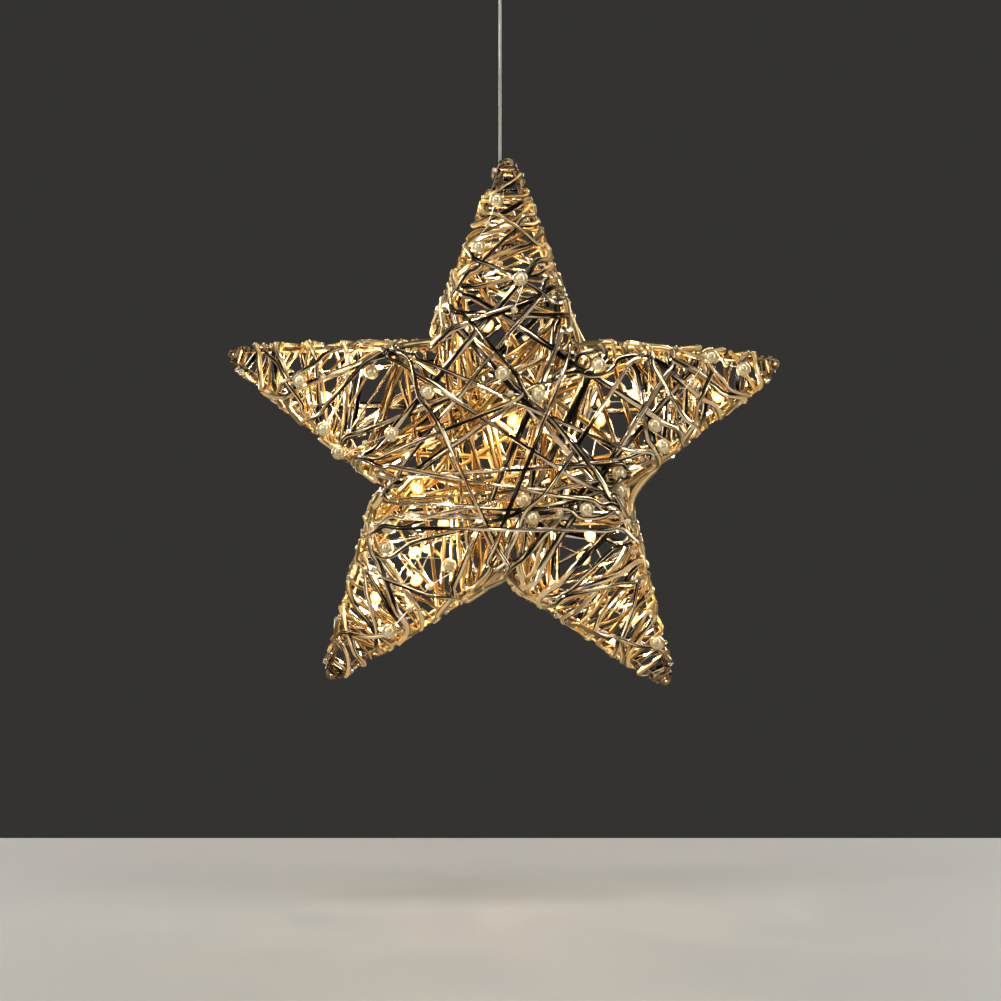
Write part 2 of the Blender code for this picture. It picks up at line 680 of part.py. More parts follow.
def block(name, low, high):
    """A box between two corners, as a mesh object that isn't in a collection yet."""
    mesh = bpy.data.meshes.new(name)
    shape = bmesh.new()
    bmesh.ops.create_cube(shape, size=1)
    low = Vector(low)
    high = Vector(high)
    bmesh.ops.scale(shape, vec=high - low, verts=shape.verts)
    bmesh.ops.translate(shape, vec=(low + high) / 2, verts=shape.verts)
    shape.to_mesh(mesh)
    shape.free()
    return bpy.data.objects.new(name, mesh)


def combine(thing, other, operation="DIFFERENCE"):
    """A Boolean with a helper that stays hidden in the cutters' collection."""
    cutters.objects.link(other)
    other.hide_render = True
    other.display_type = "WIRE"
    modifier = thing.modifiers.new(other.name, "BOOLEAN")
    modifier.operation = operation
    modifier.object = other
    modifier.solver = "EXACT"


def soften(thing, width, segments=1):
    edge = thing.modifiers.new("edge", "BEVEL")
    edge.width = width
    edge.segments = segments
    edge.limit_method = "ANGLE"


def build_case():
    """The tray: a room for two cells, open at the front for the cover, over a room for the switch."""
    half_width = CASE_WIDTH / 2
    front = -CASE_DEPTH / 2
    back = CASE_DEPTH / 2
    outside = block("case_tray", (-half_width, front, CASE_FLOOR), (half_width, back, CASE_TOP))
    tray = place(outside, ivory_plastic)
    soften(tray, CASE_CORNER, CASE_CORNER_STEPS)
    room_half = half_width - CASE_WALL - COVER_LIP
    slot_back = front + 2 * CASE_WALL + 2 * GAP
    combine(
        tray,
        block(
            "cell_room",
            (-room_half, front - OVERRUN, CELL_ROOM_FLOOR),
            (room_half, back - CASE_WALL, CELL_ROOM_TOP),
        ),
    )
    combine(
        tray,
        block(
            "cover_opening",
            (-room_half, front - OVERRUN, CELL_ROOM_FLOOR),
            (room_half, slot_back, CASE_TOP + OVERRUN),
        ),
    )
    combine(
        tray,
        block(
            "cover_groove",
            (-room_half - COVER_LIP, front + CASE_WALL, CELL_ROOM_FLOOR),
            (room_half + COVER_LIP, slot_back, CASE_TOP + OVERRUN),
        ),
    )
    switch_half = SWITCH_WIDTH / 2 + GAP + CASE_WALL
    combine(
        tray,
        block(
            "switch_room",
            (-switch_half, front + CASE_WALL, SWITCH_ROOM_FLOOR),
            (switch_half, back - CASE_WALL, SWITCH_ROOM_TOP),
        ),
    )
    switch_middle = (SWITCH_ROOM_TOP + SWITCH_ROOM_FLOOR) / 2
    slot_half_width = (KNOB_WIDTH + SWITCH_TRAVEL) / 2 + GAP
    slot_half_height = KNOB_HEIGHT / 2 + GAP
    combine(
        tray,
        block(
            "knob_slot",
            (-slot_half_width, front - OVERRUN, switch_middle - slot_half_height),
            (slot_half_width, front + CASE_WALL + OVERRUN, switch_middle + slot_half_height),
        ),
    )
    neck_hole = RELIEF_NECK / 2 + GAP
    combine(
        tray,
        round_cutter("lead_hole", neck_hole, SWITCH_ROOM_FLOOR + OVERRUN, CASE_FLOOR - OVERRUN),
    )
    combine(
        tray,
        round_cutter("peg_hole", EYE_PEG / 2 + GAP, CASE_TOP + OVERRUN, CELL_ROOM_TOP - OVERRUN),
    )
    build_cover(room_half, front)
    build_switch(front, switch_middle)


def round_cutter(name, radius, top, bottom):
    mesh = bpy.data.meshes.new(name)
    shape = bmesh.new()
    bmesh.ops.create_cone(
        shape, cap_ends=True, segments=HOLE_STEPS, radius1=radius, radius2=radius, depth=top - bottom
    )
    bmesh.ops.translate(shape, vec=(0, 0, (top + bottom) / 2), verts=shape.verts)
    shape.to_mesh(mesh)
    shape.free()
    return bpy.data.objects.new(name, mesh)


def build_cover(room_half, front):
    """The sliding cover: a lip runs in the groove on each side, with ribs for the finger."""
    low = CELL_ROOM_FLOOR + GAP
    panel_half = room_half - COVER_PLAY
    groove_front = front + CASE_WALL + COVER_PLAY
    cover = place(
        block("battery_cover", (-panel_half, front, low), (panel_half, groove_front + COVER, CASE_TOP)),
        ivory_plastic,
    )
    combine(
        cover,
        block(
            "cover_lips",
            (-panel_half - COVER_LIP, groove_front, low),
            (panel_half + COVER_LIP, groove_front + COVER, CASE_TOP),
        ),
        "UNION",
    )
    for rib in range(COVER_RIBS):
        height = low + COVER_FIRST_RIB + rib * COVER_RIB_PITCH
        combine(
            cover,
            block(
                f"cover_rib_{rib + 1}",
                (-COVER_RIB_LENGTH / 2, front - COVER_RIB, height),
                (COVER_RIB_LENGTH / 2, front + COVER_RIB, height + COVER_RIB),
            ),
            "UNION",
        )


def build_switch(front, middle):
    """A slide switch behind the front wall, with its knob through the slot, at OFF on the left."""
    inside = front + CASE_WALL + GAP
    body_front = inside + KNOB_PROUD
    place(
        block(
            "switch_body",
            (-SWITCH_WIDTH / 2, body_front, middle - SWITCH_HEIGHT / 2),
            (SWITCH_WIDTH / 2, body_front + SWITCH_DEPTH, middle + SWITCH_HEIGHT / 2),
        ),
        dark_plastic,
    )
    knob_left = -(KNOB_WIDTH + SWITCH_TRAVEL) / 2
    knob = place(
        block(
            "switch_knob",
            (knob_left, front - KNOB_PROUD, middle - KNOB_HEIGHT / 2),
            (knob_left + KNOB_WIDTH, body_front - GAP, middle + KNOB_HEIGHT / 2),
        ),
        dark_plastic,
    )
    soften(knob, KNOB_EDGE)


def build_cells():
    """Two cells side by side, head to tail, with a spring at each minus end."""
    column = (CELL + GAP) / 2
    y = CASE_DEPTH / 2 - CASE_WALL - GAP - CELL / 2
    top = CELL_ROOM_TOP - GAP
    floor = CELL_ROOM_FLOOR + GAP
    for side, name in ((-1, "left"), (1, "right")):
        minus_down = side < 0
        radius = CELL / 2
        nub_end = floor + CONTACT + GAP if not minus_down else top - CONTACT - GAP
        towards = -1 if not minus_down else 1
        shoulder = nub_end - towards * CELL_NUB_HEIGHT
        foot = shoulder - towards * CELL_LENGTH
        profile = [
            (0, nub_end),
            (CELL_NUB / 2, nub_end),
            (CELL_NUB / 2, shoulder),
            (radius - CELL_EDGE, shoulder),
            (radius, shoulder - towards * CELL_EDGE),
            (radius, foot + towards * CELL_EDGE),
            (radius - CELL_EDGE, foot),
            (0, foot),
        ]
        if towards < 0:
            profile.reverse()
        turned(f"cell_{name}", profile, cell_wrap, CELL_STEPS, None, (side * column, y, 0))
        spring_end = floor + CONTACT if minus_down else top - CONTACT
        build_spring(name, side * column, y, foot - towards * GAP, spring_end + towards * GAP, towards)
    plate_half = CONTACT_WIDTH / 2
    for side, name in ((-1, "left"), (1, "right")):
        place(
            block(
                f"contact_{name}",
                (side * column - plate_half, y - plate_half, floor),
                (side * column + plate_half, y + plate_half, floor + CONTACT),
            ),
            nickel,
        )
    bridge_half = column + plate_half
    low = (-bridge_half, y - plate_half, top - CONTACT)
    place(block("contact_bridge", low, (bridge_half, y + plate_half, top)), nickel)


def build_spring(name, x, y, cell_end, plate_end, towards):
    """A conical spring between a cell's flat end and its contact."""
    count = SPRING_TURNS * SPRING_STEPS
    first = cell_end - towards * SPRING_WIRE / 2
    last = plate_end + towards * SPRING_WIRE / 2
    points = []
    for step in range(count + 1):
        share = step / count
        angle = 2 * math.pi * SPRING_TURNS * share
        radius = SPRING_WIDTH / 2 * (1 + share) / 2
        height = first + share * (last - first)
        points.append(Vector((x + radius * math.cos(angle), y + radius * math.sin(angle), height)))
    tube(f"spring_{name}", points, SPRING_WIRE, nickel, resolution=0)


def build_eye():
    """The eye that hangs on the hook: a flat lug with a foot, and a peg in the case's top."""
    curve = bpy.data.curves.new("eye_outline", "CURVE")
    curve.dimensions = "2D"
    curve.fill_mode = "BOTH"
    curve.extrude = EYE_THICK / 2
    outside = EYE_BORE / 2 + EYE_RIM
    foot_top = CASE_TOP + GAP + EYE_FOOT_HEIGHT
    foot = CASE_TOP + GAP
    outline = [(-EYE_FOOT_WIDTH / 2, foot), (EYE_FOOT_WIDTH / 2, foot), (EYE_FOOT_WIDTH / 2, foot_top)]
    for step in range(EYE_STEPS + 1):
        angle = math.pi * step / EYE_STEPS
        outline.append((outside * math.cos(angle), EYE_CENTRE + outside * math.sin(angle)))
    outline.append((-EYE_FOOT_WIDTH / 2, foot_top))
    bore = []
    for step in range(HOLE_STEPS):
        angle = 2 * math.pi * step / HOLE_STEPS
        bore.append((EYE_BORE / 2 * math.cos(angle), EYE_CENTRE + EYE_BORE / 2 * math.sin(angle)))
    for ring in (outline, bore):
        spline = curve.splines.new("POLY")
        spline.points.add(len(ring) - 1)
        for point, (x, z) in zip(spline.points, ring, strict=True):
            point.co = (x, z, 0, 1.0)
        spline.use_cyclic_u = True
    flat = bpy.data.objects.new("eye_outline", curve)
    flat.rotation_euler = (math.pi / 2, 0, 0)
    star_parts.objects.link(flat)
    bpy.context.view_layer.update()
    graph = bpy.context.evaluated_depsgraph_get()
    mesh = bpy.data.meshes.new_from_object(flat.evaluated_get(graph))
    eye = place(bpy.data.objects.new("hanging_eye", mesh), ivory_plastic)
    eye.matrix_world = flat.matrix_world
    bpy.data.objects.remove(flat, do_unlink=True)
    shape = bmesh.new()
    shape.from_mesh(mesh)
    bmesh.ops.remove_doubles(shape, verts=shape.verts, dist=MERGE_DISTANCE)
    shape.to_mesh(mesh)
    shape.free()
    peg = round_cutter("eye_peg", EYE_PEG / 2, foot + EYE_FOOT_HEIGHT / 2, CELL_ROOM_TOP + GAP)
    combine(eye, peg, "UNION")


def build_lead(axis, lay):
    """The lead, its strain relief under the case and its sleeve in the star's top."""
    bore = LEAD / 2 + GAP
    relief = [
        (RELIEF_NECK / 2, SWITCH_ROOM_FLOOR - GAP),
        (RELIEF_NECK / 2, CASE_FLOOR - GAP),
        (RELIEF_TOP / 2, CASE_FLOOR - GAP),
        (RELIEF_MOUTH / 2, RELIEF_FOOT),
        (bore, RELIEF_FOOT),
        (bore, SWITCH_ROOM_FLOOR - GAP),
    ]
    turned("strain_relief", relief, clear_plastic, SLEEVE_STEPS)
    sleeve_top = -SLEEVE_TOP_DROP
    sleeve_foot = sleeve_top - SLEEVE_LENGTH
    sleeve = [
        (SLEEVE / 2, sleeve_top),
        (SLEEVE / 2, sleeve_foot),
        (bore, sleeve_foot),
        (bore, sleeve_top),
    ]
    turned("lead_sleeve", sleeve, clear_plastic, SLEEVE_STEPS, axis)
    on_star = Vector((-LEAD_LEFT_OF_CENTRE, 0, TIP_OUTSIDE))
    lay.add([on_star, on_star + Vector((0, 0, sleeve_foot))], SLEEVE / 2)
    top = SWITCH_ROOM_FLOOR + OVERRUN
    bottom = TIP_HEIGHT + sleeve_top - SLEEVE_DEPTH_OF_LEAD
    rise = (bottom - top) / (LEAD_POINTS - 1)
    points = [Vector((0, 0, top + rise * index)) for index in range(LEAD_POINTS)]
    tube("supply_lead", points, LEAD, clear_plastic)


clear_scene()
star_parts = new_collection("led_christmas_star")
cutters = new_collection("cutters")
bronze = finish("bronze wire", (0.22, 0.13, 0.06), 0.35, 1.0)
gold = finish("champagne gold foil", (0.86, 0.68, 0.38), 0.22, 1.0)
pearl = finish("ivory pearl", (0.86, 0.79, 0.62), 0.25, 0.0)
warm_resin = finish("warm resin", (1.0, 0.83, 0.50), 0.20, 0.0)
clear_plastic = finish("pale clear plastic", (0.70, 0.66, 0.58), 0.30, 0.0)
ivory_plastic = finish("ivory plastic", (0.80, 0.77, 0.68), 0.45, 0.0)
dark_plastic = finish("dark plastic", (0.05, 0.05, 0.05), 0.50, 0.0)
nickel = finish("nickel", (0.62, 0.60, 0.56), 0.25, 1.0)
cell_wrap = finish("cell wrap", (0.30, 0.32, 0.34), 0.35, 0.0)

turn_axis = bpy.data.objects.new("star_turn_axis", None)
turn_axis.location = (0, 0, TIP_HEIGHT)
star_parts.objects.link(turn_axis)

strands = Lay()
build_frame(turn_axis, strands)
build_arm_windings(turn_axis, strands)
build_body_strands(turn_axis, strands)
build_lead(turn_axis, strands)
build_top_strands(turn_axis, strands)
for garland_name, garland_shares in PEARL_SHARES.items():
    build_garland(turn_axis, strands, garland_name, garland_shares, -1)
for garland_name, garland_shares in BACK_PEARL_SHARES.items():
    build_garland(turn_axis, strands, garland_name, garland_shares, 1)
build_light_string(turn_axis)
build_case()
build_cells()
build_eye()
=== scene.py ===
import math
import random

import bmesh
import bpy
import numpy as np
from mathutils import Matrix, Quaternion, Vector


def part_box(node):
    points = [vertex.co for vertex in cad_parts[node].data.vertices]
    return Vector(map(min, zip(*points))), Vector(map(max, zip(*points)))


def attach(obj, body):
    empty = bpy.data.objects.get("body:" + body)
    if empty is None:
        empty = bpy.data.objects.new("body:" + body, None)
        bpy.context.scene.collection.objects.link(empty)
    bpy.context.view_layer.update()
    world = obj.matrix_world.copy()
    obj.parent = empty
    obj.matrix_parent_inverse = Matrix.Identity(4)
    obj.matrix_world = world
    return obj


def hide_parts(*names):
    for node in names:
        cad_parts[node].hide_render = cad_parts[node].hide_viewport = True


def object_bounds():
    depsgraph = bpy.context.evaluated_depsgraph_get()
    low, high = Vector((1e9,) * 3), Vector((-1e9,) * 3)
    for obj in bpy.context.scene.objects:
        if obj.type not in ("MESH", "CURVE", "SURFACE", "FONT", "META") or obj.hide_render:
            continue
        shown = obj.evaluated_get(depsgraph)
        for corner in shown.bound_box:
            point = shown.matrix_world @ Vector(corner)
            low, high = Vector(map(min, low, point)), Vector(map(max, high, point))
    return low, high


# A hanging star of bent wire, wound with champagne gold foil strands and pearls and lit from inside.
# Lengths are in metres, the star faces -Y, and the lead runs up along Z.

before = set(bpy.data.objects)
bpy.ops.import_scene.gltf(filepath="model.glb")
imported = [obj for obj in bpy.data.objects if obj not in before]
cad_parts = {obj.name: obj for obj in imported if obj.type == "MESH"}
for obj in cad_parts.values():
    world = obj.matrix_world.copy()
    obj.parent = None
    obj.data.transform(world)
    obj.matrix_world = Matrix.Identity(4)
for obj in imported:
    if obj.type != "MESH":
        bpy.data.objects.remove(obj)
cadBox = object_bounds()
print("frame loaded:", len(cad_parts), "solids")


# Camera

camera = {"distance": 1.6, "frameWidth": 0.5450, "across": 0.0003, "height": -0.3710, "sensor": 36}

cameraData = bpy.data.cameras.new("camera")
cameraData.sensor_width = camera["sensor"]
cameraData.lens = camera["sensor"] * camera["distance"] / camera["frameWidth"]
cameraObject = bpy.data.objects.new("camera", cameraData)
cameraObject.location = (camera["across"], -camera["distance"], camera["height"])
cameraObject.rotation_euler = (math.pi / 2, 0, 0)
bpy.context.scene.collection.objects.link(cameraObject)
bpy.context.scene.camera = cameraObject
print("camera done")


# Pieces: curves, meshes, and what every finished piece gets


def deselectAll():
    for thing in list(bpy.context.selected_objects):
        thing.select_set(False)


def choose(thing):
    deselectAll()
    thing.select_set(True)
    bpy.context.view_layer.objects.active = thing


def newCurve(name, routes, closed=False, radii=None, tilts=None):
    curve = bpy.data.curves.new(name, "CURVE")
    curve.dimensions = "3D"
    for route in routes:
        spline = curve.splines.new("POLY")
        spline.points.add(len(route) - 1)
        for point, spot in zip(spline.points, route):
            point.co = (*spot, 1.0)
        if radii is not None:
            spline.points.foreach_set("radius", radii)
            spline.points.foreach_set("tilt", tilts)
        spline.use_cyclic_u = closed
    thing = bpy.data.objects.new(name, curve)
    bpy.context.scene.collection.objects.link(thing)
    return thing


def makeMesh(thing, section=None):
    if section is not None:
        thing.data.bevel_mode = "OBJECT"
        thing.data.bevel_object = section
    thing.data.use_fill_caps = True
    choose(thing)
    bpy.ops.object.convert(target="MESH")
    return bpy.context.active_object


def mergeDoubles(mesh):
    shape = bmesh.new()
    shape.from_mesh(mesh)
    bmesh.ops.remove_doubles(shape, verts=shape.verts, dist=1e-6)
    shape.to_mesh(mesh)
    shape.free()


def finishPiece(piece, finish, body, crease=None):
    if crease is not None:
        choose(piece)
        bpy.ops.object.shade_smooth_by_angle(angle=math.radians(crease))
    piece.data.materials.clear()
    piece.data.materials.append(finish)
    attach(piece, body)
    return piece


# Materials: nodes, whose sockets take a number, a colour or another node's output


def feed(tree, node, sockets):
    for label, value in sockets.items():
        if isinstance(value, tuple):
            node.inputs[label].default_value = (*value, 1.0)
        elif isinstance(value, (float, int)):
            node.inputs[label].default_value = value
        else:
            tree.links.new(value, node.inputs[label])
    return node


def addNode(tree, kind, sockets=None, **settings):
    node = tree.nodes.new(kind)
    for key, value in settings.items():
        setattr(node, key, value)
    return feed(tree, node, sockets or {})


def newMaterial(name, colour, roughness, metallic=0.0):
    material = bpy.data.materials.new(name)
    material.use_nodes = True
    tree = material.node_tree
    sockets = {"Base Color": colour, "Roughness": roughness, "Metallic": metallic}
    return material, tree, feed(tree, tree.nodes["Principled BSDF"], sockets)


def newGroup(name, inputs, outputs):
    group = bpy.data.node_groups.new(name, "ShaderNodeTree")
    for label, kind, value in inputs:
        socket = group.interface.new_socket(name=label, in_out="INPUT", socket_type=kind)
        if value is not None:
            socket.default_value = value
    for label in outputs:
        group.interface.new_socket(name=label, in_out="OUTPUT", socket_type="NodeSocketFloat")
    return group, group.nodes.new("NodeGroupInput"), group.nodes.new("NodeGroupOutput")


def addGroup(tree, group, sockets):
    return addNode(tree, "ShaderNodeGroup", sockets, node_tree=group).outputs


def objectPlace(tree):
    return addNode(tree, "ShaderNodeTexCoord").outputs["Object"]


def addNoise(tree, vector, scale, detail=3.0, rough=0.5):
    sockets = {"Vector": vector, "Scale": scale, "Detail": detail, "Roughness": rough}
    return addNode(tree, "ShaderNodeTexNoise", sockets).outputs["Fac"]


def addRange(tree, value, low, high, toLow=0.0, toHigh=1.0):
    sockets = {"Value": value, "From Min": low, "From Max": high, "To Min": toLow, "To Max": toHigh}
    return addNode(tree, "ShaderNodeMapRange", sockets, interpolation_type="SMOOTHSTEP").outputs["Result"]


def addMix(tree, factor, first, second):
    return addNode(tree, "ShaderNodeMix", {0: factor, 6: first, 7: second}, data_type="RGBA").outputs[2]


def addMath(tree, operation, first, second=0.0):
    return addNode(tree, "ShaderNodeMath", {0: first, 1: second}, operation=operation).outputs[0]


def addBump(tree, height, strength, distance):
    sockets = {"Height": height, "Strength": strength, "Distance": distance}
    return addNode(tree, "ShaderNodeBump", sockets).outputs["Normal"]


# Creases and folds that run along a strand, which also lay the dark streaks of painted shade, and where
# the foil is dull, from the strand laid out straight
foilGroup, foilIn, foilOut = newGroup(
    "foilCreasesAndShade",
    (
        ("Place", "NodeSocketVector", None),
        ("Along", "NodeSocketFloat", 22.0),
        ("Across", "NodeSocketFloat", 800.0),
    ),
    ("CreasesAndShade", "Dull", "Tone"),
)
place, along, across = (foilIn.outputs[label] for label in ("Place", "Along", "Across"))
stretch = addNode(foilGroup, "ShaderNodeCombineXYZ", {"X": along, "Y": across, "Z": across}).outputs[0]
stretched = addNode(foilGroup, "ShaderNodeVectorMath", {0: place, 1: stretch}, operation="MULTIPLY")
foilNoises = {
    "CreasesAndShade": addNoise(foilGroup, stretched.outputs[0], 1.0, 4.0, 0.6),
    "Dull": addNoise(foilGroup, place, 160.0, 2.0),
    "Tone": addNoise(foilGroup, place, 45.0, 2.0),
}
feed(foilGroup, foilOut, foilNoises)

# Fine grain of moulded plastic, with faint dust
grainGroup, grainIn, grainOut = newGroup(
    "mouldedGrain",
    (("Grain Scale", "NodeSocketFloat", 1800.0), ("Dust Scale", "NodeSocketFloat", 60.0)),
    ("Grain", "Dust"),
)
place = objectPlace(grainGroup)
for label in ("Grain", "Dust"):
    noise = addNoise(grainGroup, place, grainIn.outputs[f"{label} Scale"], 4.0)
    feed(grainGroup, grainOut, {label: noise})


foil = {
    "roughness": (0.06, 0.20),
    "dullRange": (0.35, 0.70),
    "toneRange": (0.35, 0.65),
    "inwardRange": (0.2, 0.9),
    "along": 22.0,
    # how soft the edge of the streaks of painted shade is
    "shadeOver": 0.05,
    "bumpDistance": 0.0004,
    # The inner colour is painted glow of the lights inside, on the side of a strand that faces into the
    # star
    "inner": (0.92, 0.56, 0.15),
    "innerMetal": 0.62,
    "wrapped": (0.88, 0.71, 0.38),  # where a strand is pressed flat round an edge it is paler and duller
    # how much of the painted shade in the creases is left where a strand is wrapped round an edge
    "wrappedShade": 0.60,
    "wrappedMetal": 0.65,
    "toneShifts": (-0.08, 0.0, 0.08),
    "under": {
        "pale": (1.0, 0.90, 0.62),
        "middle": (0.92, 0.73, 0.39),
        # The two crease colours are painted shade: dark streaks along the creases, on the outer side and
        # on the inner side; the threshold after them sets how much of the strand they cover
        "creaseShade": (0.030, 0.019, 0.008),
        "glowCreaseShade": (0.34, 0.15, 0.028),
        "shadeFrom": 0.48,
        "across": 800.0,
        "bump": 0.35,
    },
    "top": {
        "pale": (1.0, 0.97, 0.89),
        "middle": (0.93, 0.87, 0.72),
        # The two crease colours are painted shade: near-black streaks along the creases, on the outer side
        # and on the inner side; the threshold after them sets how much of the strand they cover
        "creaseShade": (0.008, 0.007, 0.005),
        "glowCreaseShade": (0.012, 0.009, 0.005),
        "shadeFrom": 0.467,
        "across": 680.0,
        "bump": 0.60,
    },
}


def makeFoil(name, toneShift, look):
    material, tree, shader = newMaterial(name, look["middle"], foil["roughness"][1], 1.0)
    marks = {}
    for mark, output in (("strandPlace", "Vector"), ("inward", "Fac"), ("wrapped", "Fac")):
        marks[mark] = addNode(tree, "ShaderNodeAttribute", attribute_name=mark).outputs[output]
    sockets = {"Place": marks["strandPlace"], "Along": foil["along"], "Across": look["across"]}
    foilMarksAndShade = addGroup(tree, foilGroup, sockets)
    toneMask = addRange(tree, foilMarksAndShade["Tone"], *[edge + toneShift for edge in foil["toneRange"]])
    # Dark streaks of painted shade along the creases, fewer where a strand is wrapped round an edge
    shadeMask = addRange(tree, foilMarksAndShade["CreasesAndShade"], look["shadeFrom"], look["shadeFrom"] + foil["shadeOver"])
    lessShade = addRange(tree, marks["wrapped"], 0.0, 1.0, 1.0, foil["wrappedShade"])
    shadeMask = addMath(tree, "MULTIPLY", shadeMask, lessShade)
    outside = addMix(tree, toneMask, look["pale"], look["middle"])
    outside = addMix(tree, marks["wrapped"], outside, foil["wrapped"])
    outside = addMix(tree, shadeMask, outside, look["creaseShade"])
    # On the side facing into the star the colour is painted glow of the lights inside, with painted shade
    # in its creases
    inside = addMix(tree, shadeMask, foil["inner"], look["glowCreaseShade"])
    metal = addRange(tree, marks["inward"], *foil["inwardRange"], 1.0, foil["innerMetal"])
    lessMetal = addRange(tree, marks["wrapped"], 0.0, 1.0, 1.0, foil["wrappedMetal"])
    sockets = {
        "Base Color": addMix(tree, marks["inward"], outside, inside),
        "Metallic": addMath(tree, "MULTIPLY", metal, lessMetal),
        "Roughness": addRange(tree, foilMarksAndShade["Dull"], *foil["dullRange"], *foil["roughness"]),
        "Normal": addBump(tree, foilMarksAndShade["CreasesAndShade"], look["bump"], foil["bumpDistance"]),
    }
    feed(tree, shader, sockets)
    return material


def makeFoils(name, look):
    return [makeFoil(f"{name}_{i + 1}", shift, look) for i, shift in enumerate(foil["toneShifts"])]


foilFinishes = makeFoils("champagne_foil", foil["under"])
topFinishes = makeFoils("champagne_foil_top", foil["top"])


def makeBronze():
    material, tree, shader = newMaterial("bronze_wire", (0.15, 0.095, 0.045), 0.3, 1.0)
    streaks = addNoise(tree, objectPlace(tree), 420.0, 4.0)
    worn = addRange(tree, streaks, 0.35, 0.68)
    sockets = {
        "Base Color": addMix(tree, worn, (0.08, 0.048, 0.024), (0.36, 0.25, 0.13)),
        "Roughness": addRange(tree, streaks, 0.3, 0.7, 0.22, 0.48),
        "Normal": addBump(tree, streaks, 0.25, 0.0002),
    }
    feed(tree, shader, sockets)
    return material


bronze = makeBronze()


def makePlain(name, colour, second, roughness, scale, metallic=0.0, more=None):
    material, tree, shader = newMaterial(name, colour, roughness, metallic)
    grain = addGroup(tree, grainGroup, {"Grain Scale": scale})
    sockets = {
        "Base Color": addMix(tree, addRange(tree, grain["Dust"], 0.40, 0.72), colour, second),
        "Roughness": addRange(tree, grain["Grain"], 0.3, 0.7, roughness - 0.06, roughness + 0.08),
        "Normal": addBump(tree, grain["Grain"], 0.2, 0.0001),
    }
    feed(tree, shader, {**sockets, **(more or {})})
    return material


casePlastic = makePlain("satin_ivory_plastic", (0.62, 0.58, 0.49), (0.53, 0.49, 0.41), 0.42, 2600.0)
blackPlastic = makePlain("satin_black_plastic", (0.03, 0.03, 0.032), (0.06, 0.058, 0.055), 0.45, 2600.0)
nickel = makePlain("nickel_plate", (0.66, 0.63, 0.58), (0.55, 0.52, 0.47), 0.22, 900.0, 1.0)
silverWire = makePlain("silvered_wire", (0.80, 0.77, 0.68), (0.66, 0.62, 0.52), 0.24, 1500.0, 1.0)
sleevePlastic = makePlain("brown_shrink_sleeve", (0.085, 0.055, 0.032), (0.055, 0.036, 0.022), 0.4, 2600.0)
clear = {"Transmission Weight": 0.25, "Coat Weight": 0.4}
leadPlastic = makePlain("pale_clear_lead", (0.40, 0.37, 0.32), (0.33, 0.30, 0.26), 0.4, 700.0, more=clear)

cell = {
    "wrap": (0.11, 0.12, 0.13),
    "wrapDust": 0.8,
    "band": (0.62, 0.47, 0.22),
    "metal": (0.66, 0.63, 0.58),
    "bareEnd": 0.0030,
    "bandLength": 0.0125,
    "edge": 0.0003,
    "bandEdge": 0.0002,
}


def makeCell(side):
    low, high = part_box(f"cell_{side}")
    material, tree, shader = newMaterial(f"{side}_cell_wrap", cell["wrap"], 0.3)
    grain = addGroup(tree, grainGroup, {})
    height = addNode(tree, "ShaderNodeSeparateXYZ", {0: objectPlace(tree)}).outputs["Z"]
    fromMiddle = addMath(tree, "ABSOLUTE", addMath(tree, "SUBTRACT", height, (low.z + high.z) / 2))
    bareFrom = (high.z - low.z) / 2 - cell["bareEnd"]
    bandFrom = high.z - cell["bandLength"]
    ends = addRange(tree, fromMiddle, bareFrom, bareFrom + cell["edge"])
    bands = addRange(tree, height, bandFrom, bandFrom + cell["bandEdge"])
    dusty = tuple(cell["wrapDust"] * value for value in cell["wrap"])
    colour = addMix(tree, addRange(tree, grain["Dust"], 0.40, 0.72), cell["wrap"], dusty)
    colour = addMix(tree, bands, colour, cell["band"])
    sockets = {
        "Base Color": addMix(tree, ends, colour, cell["metal"]),
        "Metallic": ends,
        "Roughness": addRange(tree, grain["Grain"], 0.3, 0.7, 0.24, 0.38),
    }
    feed(tree, shader, sockets)
    return material


# The battery case, cover, switch, cells and sleeve keep their solids

keptSolids = (
    (casePlastic, ("case_tray", "battery_cover", "hanging_eye")),
    (makeCell("left"), ("cell_left",)),
    (makeCell("right"), ("cell_right",)),
    (nickel, ("spring_left", "spring_right", "contact_left", "contact_right", "contact_bridge")),
    (blackPlastic, ("switch_body", "switch_knob")),
    (sleevePlastic, ("strain_relief", "lead_sleeve")),
)
for finish, nodes in keptSolids:
    for node in nodes:
        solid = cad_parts[node]
        solid.data.materials.clear()
        solid.data.materials.append(finish)
print("case finishes done")


# The supply lead: two cores side by side in one jacket

lead = {"width": 0.0016, "points": 24, "coreSteps": 10, "coreShare": 0.86, "crease": 40}
leadLow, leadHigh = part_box("supply_lead")
leadFoot = leadLow.z
leadLength = leadHigh.z - leadLow.z
leadPoints = [(0, 0, leadFoot + leadLength * i / (lead["points"] - 1)) for i in range(lead["points"])]
core = lead["width"] / 4
outline = []
for side in (1, -1):
    for step in range(lead["coreSteps"] + 1):
        angle = math.pi * (step / lead["coreSteps"] - 0.5) * lead["coreShare"]
        angle += 0 if side > 0 else math.pi
        outline.append((side * core + core * math.cos(angle), core * math.sin(angle), 0))
leadSection = newCurve("lead_section", [outline], closed=True)
leadPiece = makeMesh(newCurve("lead", [leadPoints]), leadSection)
bpy.data.objects.remove(leadSection, do_unlink=True)
finishPiece(leadPiece, leadPlastic, "case", lead["crease"])
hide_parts("supply_lead")
print("lead done")


# The shape of the wire frame, with the star's centre at zero

